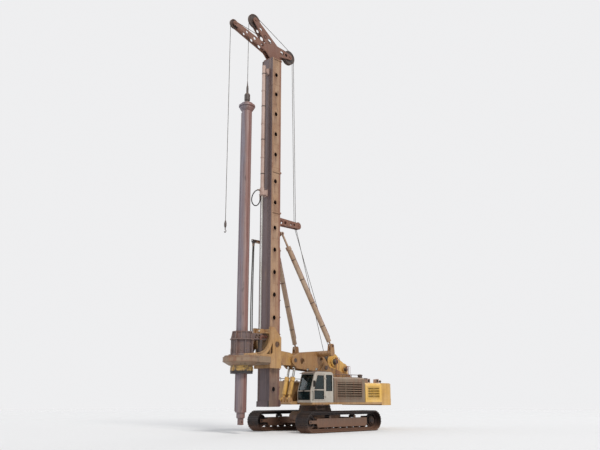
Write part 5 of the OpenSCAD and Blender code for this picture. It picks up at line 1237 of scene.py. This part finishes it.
seat_lo, seat_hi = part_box("operator_seat")
seat_x, seat_y, seat_z = (seat_lo.x + seat_hi.x) / 2, seat_lo.y + 0.26, seat_lo.z
seat = piece("seat_cushions", [cushion((seat_x, seat_y, seat_z + 0.37), (0.48, 0.5, 0.14)),
    cushion((seat_x, seat_y + 0.28, seat_z + 0.68), (0.46, 0.13, 0.56), lean=-0.12),
    cushion((seat_x, seat_y + 0.33, seat_z + 0.98), (0.26, 0.09, 0.12), lean=-0.12)], "upper", vinyl, sharp=80)
base = [block((seat_x - 0.18, seat_y - 0.16, seat_z), (seat_x + 0.18, seat_y + 0.2, seat_z + 0.3))]
for x in (seat_x - 0.3, seat_x + 0.3):
    base += [block((x - 0.045, seat_y - 0.24, seat_z), (x + 0.045, seat_y + 0.16, seat_z + 0.5)),
        bar((x, seat_y - 0.18, seat_z + 0.5), (x, seat_y - 0.2, seat_z + 0.6), 0.01, 8),
        turned([(0, 0), (0.018, 0), (0.026, 0.05), (0.02, 0.1), (0, 0.11)], (x, seat_y - 0.2, seat_z + 0.58), sides=12)]
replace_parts(piece("seat_base_and_levers", base, "upper", rubber), "operator_seat")
screen_y = cab_lo.y + 0.3
piece("cab_monitor", [block((seat_x + 0.18, screen_y, deck_z + 0.72), (seat_x + 0.4, screen_y + 0.04, deck_z + 0.92)),
    straight((seat_x + 0.3, screen_y + 0.03, deck_z + 0.04), 2, deck_z + 0.74, 0.015)], "upper", rubber)

# Winches: bolts just off the bearings' faces, a motor on each left end with its pipes
LEFT_END, RIGHT_END, CLEAR = 0.43, -0.39, 0.0003
PIPES_DOWN_TO = 2.65
BOSS = {"main": (0.25, 0.21), "aux": (0.16, 0.12)}
winch_bolts, motors, feeds = [], [], []
for line, (left_r, right_r) in BOSS.items():
    y, z = winches[line]
    winch_bolts += [bolt_ring((LEFT_END + CLEAR, y, z), left_r - 0.025, 12, 0.012, LEFT),
        bolt_ring((RIGHT_END - CLEAR, y, z), right_r - 0.02, 10, 0.012, RIGHT)]
    motors.append(turned([(0, 0), (left_r * 0.62, 0), (left_r * 0.62, 0.03), (left_r * 0.5, 0.035),
        (left_r * 0.5, 0.13), (left_r * 0.4, 0.15), (0, 0.15)], (LEFT_END, y, z), axis=0, sides=28))
    port = z + left_r * 0.4
    for dy, r in ((-0.03, 0.016), (0.03, 0.016), (0.09, 0.01)):
        feeds.append(pipe([(0.53, y + dy * 0.8, port), (0.53, y + dy, port + 0.1), (0.62 + dy, y + dy, port + 0.1),
            (0.62 + dy, y + dy, PIPES_DOWN_TO)], r, 0.05))
piece("winch_bolts", winch_bolts, "upper", zinc)
piece("winch_motors", motors, "upper", iron)
piece("winch_pipes", feeds, "upper", red_pipe)

# Round caps with bolts on both ends of the pins along X, each on the body that holds its pin
for name, x, (y, z), r, body in (("boom", 0.51, BOOM_PIN, 0.11, "upper"), ("mast", EYE_X, MAST_PIN, 0.105, "mast"),
        ("stay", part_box("boom")[1].x, STAY_FOOT.yz, 0.06, "boom")):
    piece(name + "_pin_caps", mirrored(cap(r, 0.01, r - 0.01, 0.014, (x, y, z), axis=0, sides=32),
        bolt_ring((x + 0.014, y, z), r * 0.6, 6, 0.012, LEFT)), body, dark_steel)

# Boom: pipes along the top of its middle box, weld seams round its eyes
BOOM_TOP = 3.69
BOOM_PIPE_X = (-0.2, -0.15, -0.1, 0.1, 0.15)
boom_pipes = [pipe([(x, -0.34, BOOM_TOP + 0.005), (x, -0.28, BOOM_TOP + 0.03), (x, 0.36, BOOM_TOP + 0.03),
    (x, 0.4, BOOM_TOP + 0.005)], PIPE_R) for x in BOOM_PIPE_X]
boom_pipes += [block((x, y, BOOM_TOP), (x + 0.16, y + 0.05, BOOM_TOP + 0.055)) for x in (-0.23, 0.05)
    for y in (-0.15, 0.15)]
piece("boom_pipes", boom_pipes, "boom", red_pipe)
eye_seams = [turned([(r - 0.004, -0.004), (r + 0.012, -0.004), (r - 0.004, 0.01)], (EYE_X, *spot), axis=0, sides=48)
    for spot, r in ((BOOM_PIN, 0.16), (MAST_PIN, 0.15))]
piece("boom_eye_seams", mirrored(*eye_seams), "boom", boom_ochre)

# Backstays: two pipes up each barrel, in clamps on straps round it
CLAMPS = (1.1, 2.4, 3.7, 4.8)
along = (STAY_TOP - STAY_FOOT).normalized()
across = Vector((1, 0, 0)).cross(along).normalized()
across = -across if across.y < 0 else across
sideways = along.cross(across)
for side, name in ((1, "left"), (-1, "right")):
    flip = np.array([side, 1, 1])

    def on_stay(far, out, sway=0.0):
        """Place at a distance up the barrel, out from its axis and sideways."""
        return np.array(STAY_FOOT + along * far + across * out + sideways * sway) * flip

    lines = [pipe([on_stay(low, 0.1, sway), on_stay(low, 0.155, sway), on_stay(high, 0.155, sway),
        on_stay(high, 0.1, sway)], PIPE_R, 0.05) for low, high, sway in ((0.42, 5.3, -0.03), (0.52, 5.05, 0.03))]
    blocks = [bar(on_stay(far, 0.11), on_stay(far, 0.165), 0.03, 8) for far in CLAMPS]
    straps = spread(band(0.115, 0.128, -0.02, 0.02), [on_stay(far, 0) for far in CLAMPS],
        facing([np.array(along) * flip]))
    piece("stay_pipes_" + name, lines, "stay_barrel_" + name, red_pipe)
    piece("stay_clamps_" + name, [straps] + blocks, "stay_barrel_" + name, dark_steel)

# Floor, backdrop and light
FADE_FROM, FADE_TO = 26.0, 90.0
BACKDROP = (0.86, 0.86, 0.87, 1.0)


def chosen(tree, factor, first, second, goal):
    """Links a mix of two shaders to the output node's surface."""
    mix = put(tree, "MixShader", {0: factor, 1: first, 2: second})
    give(tree.nodes[goal].inputs["Surface"], mix.outputs[0])


def pale_floor():
    """Pale floor that fades into the backdrop far from the machine."""
    made, tree, shader = new_material("floor", "grey_paint")
    shader["Base Color"].default_value = (0.782, 0.78, 0.783, 1)
    shader["Roughness"].default_value = 0.9
    far = put(tree, "VectorMath", {0: put(tree, "TexCoord").outputs["Object"]}, operation="LENGTH").outputs["Value"]
    chosen(tree, ramp(far, FADE_FROM, FADE_TO), tree.nodes["Principled BSDF"].outputs[0],
        put(tree, "BsdfTransparent").outputs[0], "Material Output")
    return made


sheet = (np.column_stack([circle(FADE_TO + 10, 64), np.zeros(64)]), [np.arange(64)[None]])
floor = piece("floor", sheet, None, pale_floor())

world = bpy.data.worlds.new("world")
scene.world = world
world.use_nodes = True
tree = world.node_tree
background = tree.nodes["Background"]
background.inputs["Color"].default_value = (0.92, 0.95, 1.0, 1)
background.inputs["Strength"].default_value = 0.5
backdrop = put(tree, "Background", {"Color": BACKDROP, "Strength": 1.0})
rays = put(tree, "LightPath").outputs
seen = either(rays["Is Camera Ray"], either(rays["Is Glossy Ray"], rays["Is Transmission Ray"]))
chosen(tree, seen, background.outputs[0], backdrop.outputs[0], "World Output")


def sun(name, way, strength, spread_deg, tint):
    """Broad soft light that shines along a direction."""
    data = bpy.data.lights.new(name, "SUN")
    data.energy, data.angle, data.color = strength, math.radians(spread_deg), tint
    made = bpy.data.objects.new(name, data)
    made.rotation_euler = Vector(way).to_track_quat("-Z", "Y").to_euler()
    scene.collection.objects.link(made)


sun("key_light", (-0.75, 0.25, -0.75), 2.1, 20, (1.0, 0.97, 0.92))
sun("fill_light", (0.6, 0.9, -0.5), 0.6, 40, (0.92, 0.96, 1.0))
sun("rear_light", (0.3, -0.9, -0.4), 0.5, 40, (0.95, 0.97, 1.0))
